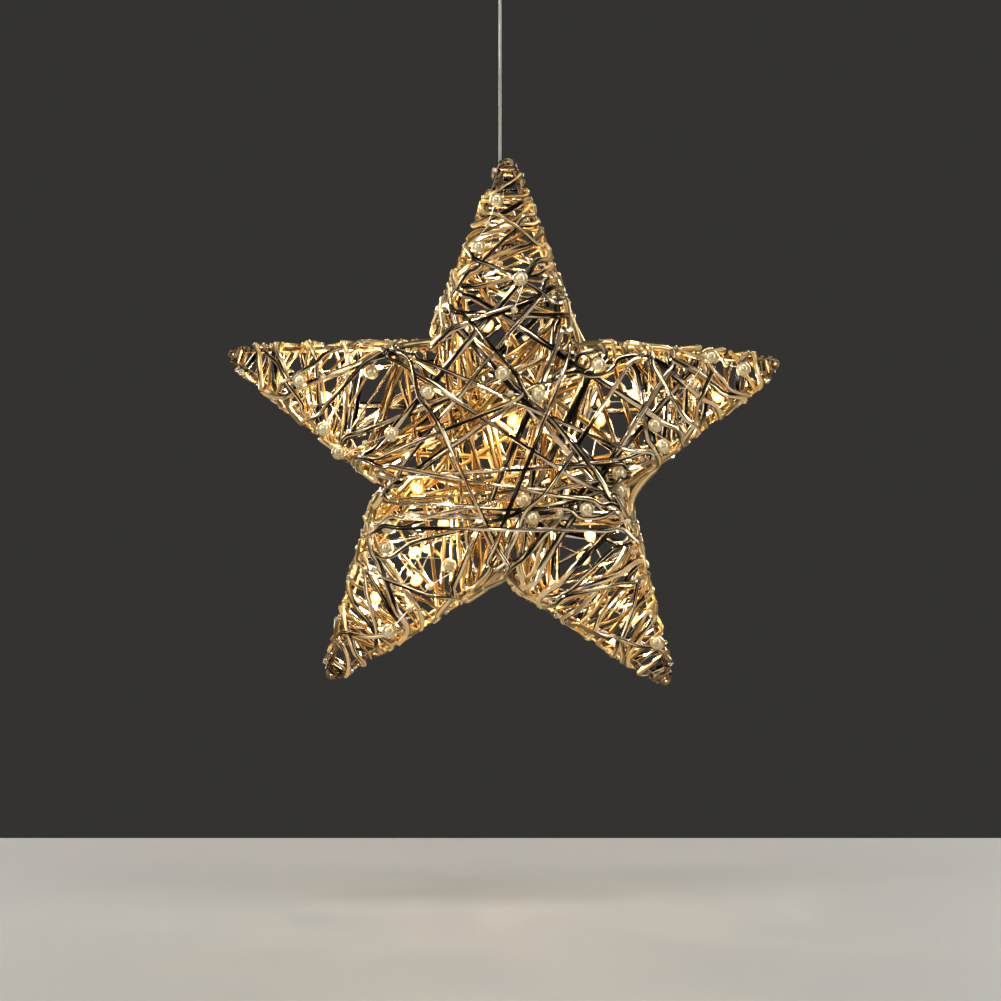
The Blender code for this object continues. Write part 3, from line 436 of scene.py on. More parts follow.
star = {
    "arms": 5,
    "tilt": math.radians(1.0),  # how far it hangs turned clockwise, as the front is seen
    "tipCorner": 0.1600,  # centre to the corner that an arm's two wires aim at
    "notchRadius": 0.0665,
    "notchHalfDepth": 0.0165,
    "wire": 0.0024,
    "tipBend": 0.0020,
    "notchBend": 0.0060,
    "solidSteps": (4, 2),  # steps in the bends at a tip and in a notch, as the solids have them
    "bendSteps": (10, 8),
    "gap": 0.0003,
    "tipHalfDepth": 0.0023,
}
halfSector = math.pi / star["arms"]
tipCorner = star["tipCorner"]
baseAlong = star["notchRadius"] * math.cos(halfSector)
baseSpread = star["notchRadius"] * math.sin(halfSector)
spreadSlope = baseSpread / (tipCorner - baseAlong)
depthSlope = (star["notchHalfDepth"] - star["tipHalfDepth"]) / (tipCorner - baseAlong)
slopeAngle = math.atan(spreadSlope)
edgeCosine = math.cos(slopeAngle)
tipOutside = tipCorner - star["tipBend"] / math.sin(slopeAngle) + star["tipBend"] + star["wire"] / 2
spacerBoxes = [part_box(f"spacer_{arm + 1}") for arm in range(star["arms"])]
starCentre = sum(((low + high) / 2 for low, high in spacerBoxes), Vector()) / star["arms"]


def bend(before, corner, after, radius, steps):
    into = (corner - before).normalized()
    out = (after - corner).normalized()
    turn = into.angle(out)
    inward = (out - into * into.dot(out)).normalized()
    centre = corner - into * radius * math.tan(turn / 2) + inward * radius
    angles = [turn * step / steps for step in range(steps + 1)]
    return [centre + radius * (into * math.sin(a) - inward * math.cos(a)) for a in angles]


def armTurn(arm):
    return math.pi / 2 - star["tilt"] - arm * 2 * halfSector


def clamp(value, low=0, high=1):
    return min(high, max(low, value))


def neighbours(items, index):
    return items[max(0, index - 1)], items[min(len(items) - 1, index + 1)]


def onArm(arm, along, across, depth):
    turn = armTurn(arm)
    x = along * math.cos(turn) + across * math.sin(turn)
    z = along * math.sin(turn) - across * math.cos(turn)
    return Vector((x, depth, z))


def withinArm(arm, x, z):
    turn = armTurn(arm)
    return x * math.cos(turn) + z * math.sin(turn), x * math.sin(turn) - z * math.cos(turn)


def armOf(x, z):
    arm = round((armTurn(0) - math.atan2(z, x)) / (2 * halfSector)) % star["arms"]
    return (arm, *withinArm(arm, x, z))


def wireSpread(along):
    return (tipCorner - along) * spreadSlope


def wireDepth(along):
    return star["tipHalfDepth"] + (tipCorner - along) * depthSlope


def faceLevel(x, z):
    return min(star["notchHalfDepth"], wireDepth(armOf(x, z)[1]))


print("star centre", [round(v, 5) for v in starCentre])


# What has been laid on the star so far, so that each new strand rests on it

laying = {
    "strand": 0.0022,
    "gap": 0.0005,
    "press": 0.0003,  # how far the scene's own strands may sink into what carries them
    "step": 0.0015,
    "ease": 0.0006,
    "layers": 8,
}
strandRadius = laying["strand"] / 2
strandSpacing = laying["strand"] + laying["gap"]


class Lay:
    def __init__(self, gap):
        self.gap = gap
        self.starts = np.zeros((0, 3))
        self.ends = np.zeros((0, 3))
        self.radii = np.zeros(0)

    def copy(self, gap):
        other = Lay(gap)
        other.starts, other.ends, other.radii = self.starts.copy(), self.ends.copy(), self.radii.copy()
        return other

    def add(self, points, radius):
        points = np.array([tuple(p) for p in points])
        radii = np.full(len(points), radius) if np.isscalar(radius) else np.array(radius)
        self.starts = np.vstack([self.starts, points[:-1]])
        self.ends = np.vstack([self.ends, points[1:]])
        self.radii = np.append(self.radii, np.maximum(radii[:-1], radii[1:]))

    def restHeight(self, x, z, radius, face):
        run = (self.ends - self.starts)[:, [0, 2]]
        rise = face * (self.ends - self.starts)[:, 1]
        offset = np.array([x, z]) - self.starts[:, [0, 2]]
        length = (run**2).sum(1)
        level = length > (laying["gap"] / 2) ** 2
        share = np.clip((offset * run).sum(1) / np.where(level, length, 1.0), 0, 1)
        share = np.where(level, share, rise > 0)
        aside = ((offset - share[:, None] * run) ** 2).sum(1)
        reach = self.radii + radius + self.gap
        near = aside < reach**2
        if not near.any():
            return None
        height = face * self.starts[:, 1] + share * rise
        return float((height[near] + np.sqrt(reach[near] ** 2 - aside[near])).max())

    def isClear(self, points, radius):
        for start, end in zip(points, points[1:]):
            steps = max(2, math.ceil((end - start).length / laying["step"]))
            for step in range(steps + 1):
                spot = np.array(start.lerp(end, step / steps))
                run = self.ends - self.starts
                share = ((spot - self.starts) * run).sum(1) / np.maximum((run**2).sum(1), 1e-8)
                nearest = self.starts + np.clip(share, 0, 1)[:, None] * run
                if (np.sqrt(((spot - nearest) ** 2).sum(1)) < self.radii + radius + self.gap).any():
                    return False
        return True

    def isOpen(self, spot, radius):
        height = self.restHeight(spot.x, spot.z, radius, 1 if spot.y > 0 else -1)
        return height is None or height <= abs(spot.y)

    def drawOver(self, start, end, radius, face, path=None):
        run = Vector((end.x - start.x, end.z - start.z)).length
        steps = max(2, math.ceil(run / laying["step"]))
        straight = path is None
        if straight:
            path = [start.lerp(end, step / steps) for step in range(steps + 1)]
        last = len(path) - 1
        spots = [(0, face * start.y)]
        for step in range(1, last):
            height = self.restHeight(path[step].x, path[step].z, radius, face)
            if height is not None:
                spots.append((step, height))
        spots.append((last, face * end.y))
        hull = []
        for spot in spots:
            while len(hull) > 1 and sags(hull[-2], hull[-1], spot):
                hull.pop()
            hull.append(spot)
        if straight:
            bends = [(start.lerp(end, step / last), height) for step, height in ease(hull)[1:-1]]
            return [Vector((spot.x, face * height, spot.z)) for spot, height in bends]
        heights = np.interp(range(1, last), [step for step, _ in hull], [height for _, height in hull])
        return [Vector((path[i + 1].x, face * height, path[i + 1].z)) for i, height in enumerate(heights)]


def sags(before, middle, after):
    line = before[1] + (after[1] - before[1]) * (middle[0] - before[0]) / (after[0] - before[0])
    return middle[1] <= line


def ease(hull):
    index = 1
    while index + 2 < len(hull):
        before, first, second, after = hull[index - 1 : index + 3]
        riseIn = (first[1] - before[1]) / (first[0] - before[0])
        riseOut = (after[1] - second[1]) / (after[0] - second[0])
        if riseIn > riseOut:
            middle = (second[1] - first[1] + riseIn * first[0] - riseOut * second[0]) / (riseIn - riseOut)
            height = first[1] + riseIn * (middle - first[0])
            share = (middle - first[0]) / (second[0] - first[0])
            if height - first[1] - share * (second[1] - first[1]) < laying["ease"]:
                hull[index : index + 2] = [(middle, height)]
                continue
        index += 1
    return hull


winding = {
    "turn": 0.0098,
    "lean": 0.0240,
    "tipLean": 0.0030,
    "bareTip": 0.0110,
    "zone": 0.0160,
    "outerStart": 0.75,
    "outerTurn": 1.2,
    "play": 0.25,
    "seeds": 100,
    "crossStops": 12,
    "crossLean": 0.30,
    "sidesteps": (0, 1, -1, 2, -2, 3, -3, 4, -4),
}
layerPitch = (laying["strand"] + star["gap"]) / edgeCosine
firstLayer = (star["wire"] + laying["strand"]) / 2 + star["gap"]
layers = [firstLayer + layer * layerPitch for layer in range(laying["layers"])]
halfOpening = halfSector + slopeAngle


def pastEdge(arm, side, along, face, standOff):
    across = side * (wireSpread(along) + standOff)
    return onArm(arm, along, across, face * (wireDepth(along) + standOff))


def roundEdge(arm, side, frontAlong, backAlong, standOff):
    return [pastEdge(arm, side, frontAlong, -1, standOff), pastEdge(arm, side, backAlong, 1, standOff)]


def notchClearance(standOff):
    beside = strandSpacing / 2 + standOff * math.sin(halfOpening)
    return beside / math.cos(halfOpening) * edgeCosine


def frameRoutes(steps):
    routes = []
    for face in (-1, 1):
        corners = []
        for arm in range(star["arms"]):
            tip = onArm(arm, tipCorner, 0, face * star["tipHalfDepth"])
            corners.append((tip, star["tipBend"], steps[0]))
            notch = onArm(arm, baseAlong, baseSpread, face * star["notchHalfDepth"])
            corners.append((notch, star["notchBend"], steps[1]))
        points = []
        for index, (corner, radius, count) in enumerate(corners):
            before = corners[index - 1][0]
            after = corners[(index + 1) % len(corners)][0]
            points += bend(before, corner, after, radius, count)
        routes.append(points)
    return routes


strands = Lay(laying["gap"])
for points in frameRoutes(star["solidSteps"]):
    strands.add([*points, points[0]], star["wire"] / 2)
bendRise = star["notchBend"] / math.sin(halfOpening) - star["notchBend"]
inside = 1 + (bendRise - star["wire"] - star["gap"]) / star["notchRadius"]
reach = star["notchHalfDepth"] + star["wire"] / 2
spacerRoutes = []
for arm in range(star["arms"]):
    spacerRoutes.append([onArm(arm, baseAlong * inside, baseSpread * inside, y) for y in (-reach, reach)])
    strands.add(spacerRoutes[-1], star["wire"] / 2)


def windingRoute(arm, layer):
    standOff = layers[layer]
    dice = random.Random(winding["seeds"] * arm + layer)
    hand = 1 if (arm + layer) % 2 else -1
    leanHand = 1 if layer else -1
    turnLength = winding["turn"] * winding["outerTurn"] ** layer
    play = (turnLength - strandSpacing / edgeCosine**2) * winding["play"]
    first = baseAlong + notchClearance(standOff) + winding["lean"] / 2 + play
    first += layer * winding["outerStart"] * winding["zone"]
    last = tipCorner - winding["bareTip"] - winding["tipLean"] / 2 - play
    turns = round((last - first) / turnLength)
    points = []
    for turn in range(turns):
        spots = []
        for quarter, side in enumerate((hand, hand, -hand, -hand)):
            share = (turn + quarter / 4) / turns
            lean = winding["lean"] + share * (winding["tipLean"] - winding["lean"])
            lean = side * leanHand * lean / 2
            spots.append(first + share * (last - first) + lean + dice.uniform(-play, play))
        points += roundEdge(arm, hand, spots[0], spots[1], standOff)
        points += roundEdge(arm, -hand, spots[3], spots[2], standOff)[::-1]
    return points


strandRoutes = {}
for arm in range(star["arms"]):
    for layer, label in enumerate(("inner", "outer")):
        route = windingRoute(arm, layer)
        strandRoutes[f"arm_{arm + 1}_{label}_winding"] = route
        strands.add(route, strandRadius)

# Where each strand of the body goes round an edge: arm, side, and share of the zone out from the notch
bodyTurns = (
    ((4, 1, 0.81), (2, 1, 0.17), (4, 1, 0.11), (4, -1, 0.14), (1, -1, 0.88)),
    ((4, -1, 0.33), (4, 1, 0.34), (2, 1, 0.63), (0, -1, 0.22), (2, -1, 0.80)),
    ((0, 1, 0.59), (3, -1, 0.55), (3, 1, 0.01), (2, -1, 0.99), (3, 1, 0.75)),
    ((1, -1, 0.27), (3, -1, 0.25), (0, 1, 0.31), (2, -1, 0.22), (3, 1, 0.42)),
    ((1, 1, 0.21), (3, 1, 0.23)),
    ((0, 1, 0.80), (4, -1, 0.67), (1, 1, 0.71), (0, -1, 0.59), (1, 1, 1.00)),
    ((3, -1, 0.76), (0, -1, 0.92)),
    ((2, 1, 0.83), (1, -1, 0.08), (4, -1, 0.87)),
    ((1, -1, 0.49), (1, 1, 0.40)),
)


def drawStrand(lay, turns, pickCorner, face):
    points = []
    corner = []
    for arm, side, share in turns:
        nextCorner = pickCorner(lay, arm, side, share)
        if face > 0:
            nextCorner.reverse()
        if corner:
            middle = lay.drawOver(corner[-1], nextCorner[0], strandRadius, face)
            lay.add([*corner, *middle, nextCorner[0]], strandRadius)
            points += middle
        points += nextCorner
        corner = nextCorner
        face = -face
    lay.add(corner, strandRadius)
    return points


def zoneCorner(lay, arm, side, share):
    lowest = baseAlong + notchClearance(layers[1])
    along = lowest + share * (winding["zone"] - laying["strand"])
    return roundEdge(arm, side, along, along, layers[1])


def freeCorner(lay, arm, side, share):
    for standOff in layers[1:]:
        lowest = baseAlong + notchClearance(standOff)
        highest = tipCorner - winding["bareTip"]
        for sidestep in winding["sidesteps"]:
            along = clamp(lowest + share * (highest - lowest) + sidestep * strandSpacing, lowest, highest)
            corner = roundEdge(arm, side, along, along, standOff)
            if lay.isClear(corner, strandRadius):
                if all(lay.isOpen(spot, strandRadius) for spot in corner):
                    return corner
    return corner


for number, turns in enumerate(bodyTurns):
    strandRoutes[f"body_strand_{number + 1}"] = drawStrand(strands, turns, zoneCorner, 1)
sleeveWidth = 0.0040
sleeveLow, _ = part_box("lead_sleeve")
sleeveLine = [Vector((-starCentre.x, 0, z)) for z in (tipOutside, sleeveLow.z - starCentre.z)]
strands.add(sleeveLine, sleeveWidth / 2)
for arm in range(star["arms"]):
    hand = 1 if arm % 2 else -1
    turns = []
    for stop in range(winding["crossStops"]):
        side = hand if stop % 2 else -hand
        out = winding["crossLean"] + stop * (1 - winding["crossLean"]) / (winding["crossStops"] - 1)
        turns.append((arm, side, out - winding["crossLean"] * (side * hand + 1) / 2 * (1 - out)))
    strandRoutes[f"arm_{arm + 1}_cross_strand"] = drawStrand(strands, turns, freeCorner, -1)

# The long strands on top, front and back in turn, with the share of the whole wound edge
longTurns = (
    (
        (2, 1, 0.12), (1, -1, 0.00), (4, -1, 0.30), (0, 1, 0.30),
        (2, 1, 0.00), (1, -1, 0.05), (3, 1, 0.00), (1, -1, 0.00),
        (3, -1, 0.04), (1, -1, 0.64), (3, -1, 0.06), (0, 1, 0.15),
    ),
    (
        (0, -1, 0.31), (0, 1, 0.04), (0, -1, 0.01), (2, -1, 0.00),
        (0, -1, 0.00), (1, 1, 0.00), (1, -1, 0.16), (1, 1, 0.47),
        (0, -1, 0.25), (0, 1, 0.07), (3, -1, 0.36), (3, 1, 0.48),
    ),
    (
        (1, -1, 0.00), (2, 1, 0.00), (2, -1, 0.40), (2, 1, 0.08),
        (1, 1, 0.00), (3, 1, 0.05), (2, -1, 0.00), (0, -1, 0.00),
        (2, -1, 0.20), (3, 1, 0.01), (3, -1, 0.66), (3, 1, 0.72),
    ),
    (
        (1, 1, 0.17), (1, -1, 0.00), (1, 1, 0.71), (1, -1, 0.56),
        (2, 1, 0.00), (0, 1, 0.52), (4, -1, 0.04), (0, 1, 0.13),
        (4, -1, 0.64), (1, 1, 0.80), (1, -1, 0.25), (4, -1, 0.96),
    ),
)
for number, turns in enumerate(longTurns):
    strandRoutes[f"long_strand_{number + 1}"] = drawStrand(strands, turns, freeCorner, -1)
print("routes of the solids' strands:", len(strandRoutes))


# Strands as foil wound on a core: an uneven section that twists along a smoothed route

strandLook = {
    "width": 0.0024,
    "full": {  # those on top are fuller
        "inner_winding": 0.50,
        "outer": 0.80,
        "body": 1.10,
        "cross": 1.30,
        "long": 1.56,
        "tip": 0.66,
    },
    "step": 0.0015,
    "smoothing": 4,
    "section": (1.0, 0.86, 1.04, 0.90, 1.07, 0.83, 0.97, 1.06, 0.86, 1.02, 0.89, 1.05),
    "crease": 50,
    "twistLength": 0.30,
    "twistPlay": (0.3, 1.7),
    "wander": 0.02,
    "wanderBack": 0.15,
    "scatter": (0.0010, 0.22),  # how far a winding's turns stray along the arm: at the tip, and per width
    "hug": 0.20,  # how much of a strand's distance to the wire is left where it turns round an edge
    "hugReach": 0.0020,
    "wrapReach": 0.0040,
    "wrapShare": 0.25,
    "wrapMost": 0.60,
    "slant": 0.0034,  # how far along the arm a strand moves as it goes round an edge
    "slantReach": 0.0120,
    "slantSeed": 1.7,
    "slantWave": 400,
    "under": 0.55,  # how much painted glow of the lights inside a strand gets that lies under others, and one on top
    "over": 0.25,
    "glowFacingShare": 0.75,
    "deepFrom": 0.030,  # distance from the middle plane where the glow inside fades, and over how far
    "deepOver": 0.022,
    "shallowShare": 0.55,
    "placeApart": 0.37,
}
strandWidth = strandLook["width"]
corners = len(strandLook["section"])
outline = []
for corner, share in enumerate(strandLook["section"]):
    angle = 2 * math.pi * corner / corners
    reach = strandWidth / 2 * share
    outline.append((reach * math.cos(angle), reach * math.sin(angle), 0))
strandSection = newCurve("strand_section", [outline], closed=True)


def lengthsAlong(points):
    return np.concatenate([[0], np.cumsum(np.sqrt(((points[1:] - points[:-1]) ** 2).sum(1)))])


def evenSteps(points, step):
    points = np.array([tuple(p) for p in points])
    far = lengthsAlong(points)
    count = max(4, round(far[-1] / step))
    wanted = np.linspace(0, far[-1], count + 1)
    return np.stack([np.interp(wanted, far, points[:, i]) for i in range(3)], axis=1)


def smoothRoute(points, passes):
    for _ in range(passes):
        middle = points[1:-1] * 0.5 + (points[:-2] + points[2:]) * 0.25
        points = np.vstack([points[:1], middle, points[-1:]])
    return points


def hugEdge(points, seed):
    tight = []
    for x, y, z in points:
        arm, along, across = armOf(x, z)
        out = abs(across) - wireSpread(along)
        turned = y / star["notchHalfDepth"] * clamp(1 + out / strandLook["slantReach"])
        phase = seed * strandLook["slantSeed"] + along * strandLook["slantWave"]
        along += strandLook["slant"] * turned * math.sin(phase)
        across = math.copysign(wireSpread(along) + out, across)
        near = clamp((out + strandLook["hugReach"]) / strandLook["hugReach"])
        rise = abs(y) - faceLevel(x, z)
        if rise > layers[0]:
            y = math.copysign(abs(y) - near * (rise - layers[0]) * (1 - strandLook["hug"]), y)
        if out > layers[0]:
            across -= math.copysign((out - layers[0]) * (1 - strandLook["hug"]), across)
        tight.append(onArm(arm, along, across, y))
    return np.array([tuple(spot) for spot in tight])


def scatterTurns(arm, route, seed):
    dice = random.Random(seed)
    spots = [(*withinArm(arm, spot.x, spot.z), spot.y) for spot in route]
    lowest = min(along for along, _, _ in spots)
    highest = max(along for along, _, _ in spots)
    scattered = []
    for along, across, y in spots:
        free = strandLook["scatter"][0] + strandLook["scatter"][1] * wireSpread(along)
        shifted = clamp(along + dice.uniform(-free, free), lowest, highest)
        across += math.copysign(wireSpread(shifted) - wireSpread(along), across)
        y += math.copysign(wireDepth(shifted) - wireDepth(along), y)
        scattered.append(onArm(arm, shifted, across, y))
    return scattered


def writeAttribute(mesh, name, values):
    isVector = values.ndim > 1
    layer = mesh.attributes.new(name, "FLOAT_VECTOR" if isVector else "FLOAT", "POINT")
    layer.data.foreach_set("vector" if isVector else "value", values.astype(np.float32).ravel())


def writePlaces(mesh, points, seed):
    along = np.repeat(lengthsAlong(points), corners) + seed * strandLook["placeApart"]
    turn = np.tile(np.arange(corners) * 2 * math.pi / corners, len(points))
    half = strandWidth / 2
    place = np.stack([along, half * np.cos(turn), half * np.sin(turn)], axis=1)
    place = np.vstack([place, place[:corners], place[-corners:]])  # the caps have corners of their own
    writeAttribute(mesh, "strandPlace", place)


def writeSides(mesh, under):
    spots = np.zeros(len(mesh.vertices) * 3, np.float32)
    normals = np.zeros(len(mesh.vertices) * 3, np.float32)
    mesh.vertices.foreach_get("co", spots)
    mesh.vertex_normals.foreach_get("vector", normals)
    spots, normals = spots.reshape(-1, 3), normals.reshape(-1, 3)
    # How much painted glow of the lights inside each spot gets: more where it faces into the star, on
    # strands under others, and near the middle plane
    turned = -np.sign(spots[:, 1]) * normals[:, 1]
    deep = np.clip((strandLook["deepFrom"] - np.abs(spots[:, 1])) / strandLook["deepOver"], 0, 1)
    inward = np.clip(under + strandLook["glowFacingShare"] * turned, 0, 1)
    shallow = strandLook["shallowShare"]
    writeAttribute(mesh, "inward", inward * (shallow + (1 - shallow) * deep))
    around = spots - np.array(starCentre)
    arm = np.round((armTurn(0) - np.arctan2(around[:, 2], around[:, 0])) / (2 * halfSector))
    axis = armTurn(arm)
    along = around[:, 0] * np.cos(axis) + around[:, 2] * np.sin(axis)
    across = around[:, 0] * np.sin(axis) - around[:, 2] * np.cos(axis)
    spread = np.clip(wireSpread(along), 0.001, 1)
    wrapReach = np.minimum(strandLook["wrapReach"], spread * strandLook["wrapShare"])
    wrapped = np.clip((np.abs(across) - spread) / wrapReach + 1, 0, 1)
    writeAttribute(mesh, "wrapped", wrapped * strandLook["wrapMost"])


def windStrand(name, route, seed, finish):
    dice = random.Random(seed)
    full = next((share for kind, share in strandLook["full"].items() if kind in name), 1.0)
    points = smoothRoute(hugEdge(evenSteps(route, strandLook["step"]), seed), strandLook["smoothing"])
    low, high = (corner.y - starCentre.y for corner in cadBox)
    points[:, 1] = np.clip(points[:, 1], low + strandWidth / 2, high - strandWidth / 2)
    tilt = dice.uniform(0, 2 * math.pi)
    hand = dice.choice((-1, 1))
    width = 1.0
    tilts = []
    radii = []
    for _ in points:
        turned = strandLook["step"] / strandLook["twistLength"] * dice.uniform(*strandLook["twistPlay"])
        tilt += hand * 2 * math.pi * turned
        width += dice.uniform(-1, 1) * strandLook["wander"] + (1.0 - width) * strandLook["wanderBack"]
        tilts.append(tilt)
        radii.append(width * full)
    curve = newCurve(name, [[Vector(p) + starCentre for p in points]], radii=radii, tilts=tilts)
    piece = makeMesh(curve, strandSection)
    writePlaces(piece.data, points, seed)
    mergeDoubles(piece.data)
    # Windings and tip wraps lie under the rest and get the larger share of painted glow
    isUnder = "winding" in name or "tip" in name
    writeSides(piece.data, strandLook["under"] if isUnder else strandLook["over"])
    return finishPiece(piece, finish, "star", strandLook["crease"])


for number, (name, route) in enumerate(strandRoutes.items()):
    finishes = topFinishes if "cross" in name or "long" in name else foilFinishes
    if "winding" in name:
        route = scatterTurns(int(name.split("_")[1]) - 1, route, number + 1)
    piece = windStrand("foil_" + name, route, number + 1, finishes[number % len(finishes)])
    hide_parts(name)
print("strands of the solids wound:", len(strandRoutes))


# Pearls and beads, which lie on the strands of the solids

garland = {
    "pearl": 0.0080,
    "bead": 0.0038,
    "beadEvery": 0.0180,
    "wire": 0.0006,
    "wireSeen": 0.0004,
    "hole": 0.0005,
    "dimple": 0.0006,
}
pearlShares = {
    "top": ((-0.02, 0.83), (-0.08, 0.67), (0.06, 0.56), (0.00, 0.24)),
    "heart": ((-0.25, 0.18), (0.12, 0.17), (0.32, 0.27)),
    "right": ((0.39, -0.09), (0.54, 0.00), (0.51, 0.07), (0.70, 0.30), (0.81, 0.26)),
    "left": ((-0.37, 0.04), (-0.55, -0.02), (-0.60, 0.06), (-0.68, 0.22), (-0.44, 0.25)),
    "lower_right": ((0.07, -0.18), (0.10, -0.24), (0.28, -0.21), (0.39, -0.15), (0.52, -0.66)),
    "lower_left": ((-0.38, -0.62), (-0.18, -0.40), (-0.39, -0.34), (-0.38, -0.27)),
}
backPearlShares = {
    "back_upper": ((0.02, 0.80), (-0.04, 0.55), (0.14, 0.30), (0.40, 0.20), (0.66, 0.24)),
    "back_left": ((-0.74, 0.25), (-0.50, 0.12), (-0.25, 0.02), (-0.02, 0.05)),
    "back_lower": ((-0.44, -0.62), (-0.26, -0.34), (0.02, -0.24), (0.28, -0.38), (0.42, -0.60)),
}
cover = strands.copy(-laying["press"])
balls = {-1: [], 1: []}


def placeBalls(spots, face):
    places = []
    for index, (x, z) in enumerate(spots):
        x, z = x * tipCorner, z * tipCorner
        places.append((x, z, garland["pearl"]))
        if index + 1 < len(spots):
            nextX, nextZ = (share * tipCorner for share in spots[index + 1])
            beads = int(math.hypot(nextX - x, nextZ - z) / garland["beadEvery"])
            for bead in range(1, beads + 1):
                share = bead / (beads + 1)
                places.append((x + share * (nextX - x), z + share * (nextZ - z), garland["bead"]))
    placed = []
    for index, (x, z, size) in enumerate(places):
        before, after = neighbours(places, index)
        run = Vector((after[0] - before[0], after[1] - before[1])).normalized()
        heights = [faceLevel(x, z) + size / 2, strands.restHeight(x, z, size / 2, face)]
        ends = (size / 2, size / 2 + laying["strand"])
        for reach in (-ends[1], -ends[0], *ends):
            spot = (x + reach * run.x, z + reach * run.y)
            heights.append(strands.restHeight(*spot, garland["wire"], face))
        placed.append((Vector((x, face * max(h for h in heights if h is not None), z)), size))
    return placed


def makeBall(size, segments, rings):
    shape = bmesh.new()
    top, bottom = (shape.verts.new((0, 0, end * (size / 2 - garland["dimple"]))) for end in (1, -1))
    circles = []
    for ring in range(1, rings):
        wide = size / 2 * math.sin(math.pi * ring / rings) if 1 < ring < rings - 1 else garland["hole"]
        height = size / 2 * math.cos(math.pi * ring / rings)
        turns = [math.pi / 2 + 2 * math.pi * i / segments for i in range(segments)]
        circles.append([shape.verts.new((wide * math.cos(a), wide * math.sin(a), height)) for a in turns])
    for i in range(segments):
        j = (i + 1) % segments
        shape.faces.new((top, circles[0][i], circles[0][j]))
        for upper, lower in zip(circles, circles[1:]):
            shape.faces.new((upper[i], lower[i], lower[j], upper[j]))
        shape.faces.new((bottom, circles[-1][j], circles[-1][i]))
    for face in shape.faces:
        face.smooth = True
    ball = bpy.data.meshes.new("ball")
    shape.to_mesh(ball)
    shape.free()
    return ball


def placeCopies(name, copies, finish):
    shape = bmesh.new()
    for master, centre, along, stretch in copies:
        mesh = master.copy()
        turn = Vector(along).to_track_quat("Z", "Y").to_matrix().to_4x4()
        turn = turn @ Matrix.Diagonal((1, 1, stretch, 1))
        mesh.transform(Matrix.Translation(centre + starCentre) @ turn)
        shape.from_mesh(mesh)
        bpy.data.meshes.remove(mesh)
    piece = bpy.data.objects.new(name, bpy.data.meshes.new(name))
    shape.to_mesh(piece.data)
    shape.free()
    bpy.context.scene.collection.objects.link(piece)
    return finishPiece(piece, finish, "star")


def makeTube(name, routes, width, finish, resolution, closed=False):
    curve = newCurve(name, [[Vector(spot) + starCentre for spot in route] for route in routes], closed)
    curve.data.bevel_depth = width / 2
    curve.data.bevel_resolution = resolution
    piece = makeMesh(curve)
    mergeDoubles(piece.data)
    return finishPiece(piece, finish, "star", strandLook["crease"])


def makePearl():
    pale, deep, roughness = (0.84, 0.70, 0.42), (0.66, 0.50, 0.25), 0.24
    material, tree, shader = newMaterial("ivory_pearl", pale, roughness, 0.62)
    clouds = addNoise(tree, objectPlace(tree), 110.0, 2.0)
    specks = addNoise(tree, objectPlace(tree), 700.0, 2.0)
    sockets = {
        "Base Color": addMix(tree, addRange(tree, clouds, 0.38, 0.64), pale, deep),
        "Roughness": addRange(tree, specks, 0.3, 0.7, roughness - 0.05, roughness + 0.10),
        "Normal": addBump(tree, specks, 0.04, 0.00005),
        "Coat Weight": 1.0,
        "Coat Roughness": 0.05,
    }
    feed(tree, shader, sockets)
    return material


pearlFinish = makePearl()
pearlMaster = makeBall(garland["pearl"], 20, 12)
beadMaster = makeBall(garland["bead"], 10, 7)
for group, face in ((pearlShares, -1), (backPearlShares, 1)):
    for name, spots in group.items():
        placed = placeBalls(spots, face)
        balls[face] += placed
        wireRoute = []
        radii = []
        copies = []
        for index, (centre, size) in enumerate(placed):
            before, after = (spot for spot, _ in neighbours(placed, index))
            along = Vector((after.x - before.x, 0, after.z - before.z)).normalized()
            isPearl = size == garland["pearl"]
            shares = (-1, -0.7, 0, 0.7, 1) if isPearl else (-1, 0, 1)
            through = [centre + share * along * size / 2 for share in shares]
            if wireRoute:
                middle = strands.drawOver(wireRoute[-1], through[0], garland["wire"] / 2, face)
                cover.add([wireRoute[-1], *middle, through[0]], garland["wire"] / 2)
                wireRoute += middle
                radii += [garland["wire"] / 2] * len(middle)
            wireRoute += through
            rounds = [size / 2 * math.sqrt(max(0, 1 - share**2)) for share in shares]
            radii += [max(garland["wire"] / 2, radius) for radius in rounds]
            copies.append((pearlMaster if isPearl else beadMaster, centre, along, 1))
        strands.add(wireRoute, radii)
        pieces = (
            placeCopies(f"garland_{name}_pearls", copies, pearlFinish),
            makeTube(f"garland_{name}_wire", [wireRoute], garland["wireSeen"], silverWire, 1),
        )
        for piece in pieces:
            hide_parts(f"pearls_{name}")
bpy.data.meshes.remove(pearlMaster)
bpy.data.meshes.remove(beadMaster)
print("garlands:", len(balls[-1]), "balls in front,", len(balls[1]), "behind")


# Strands that only the scene shows: inside the hollow from wire to wire, and more over the open places

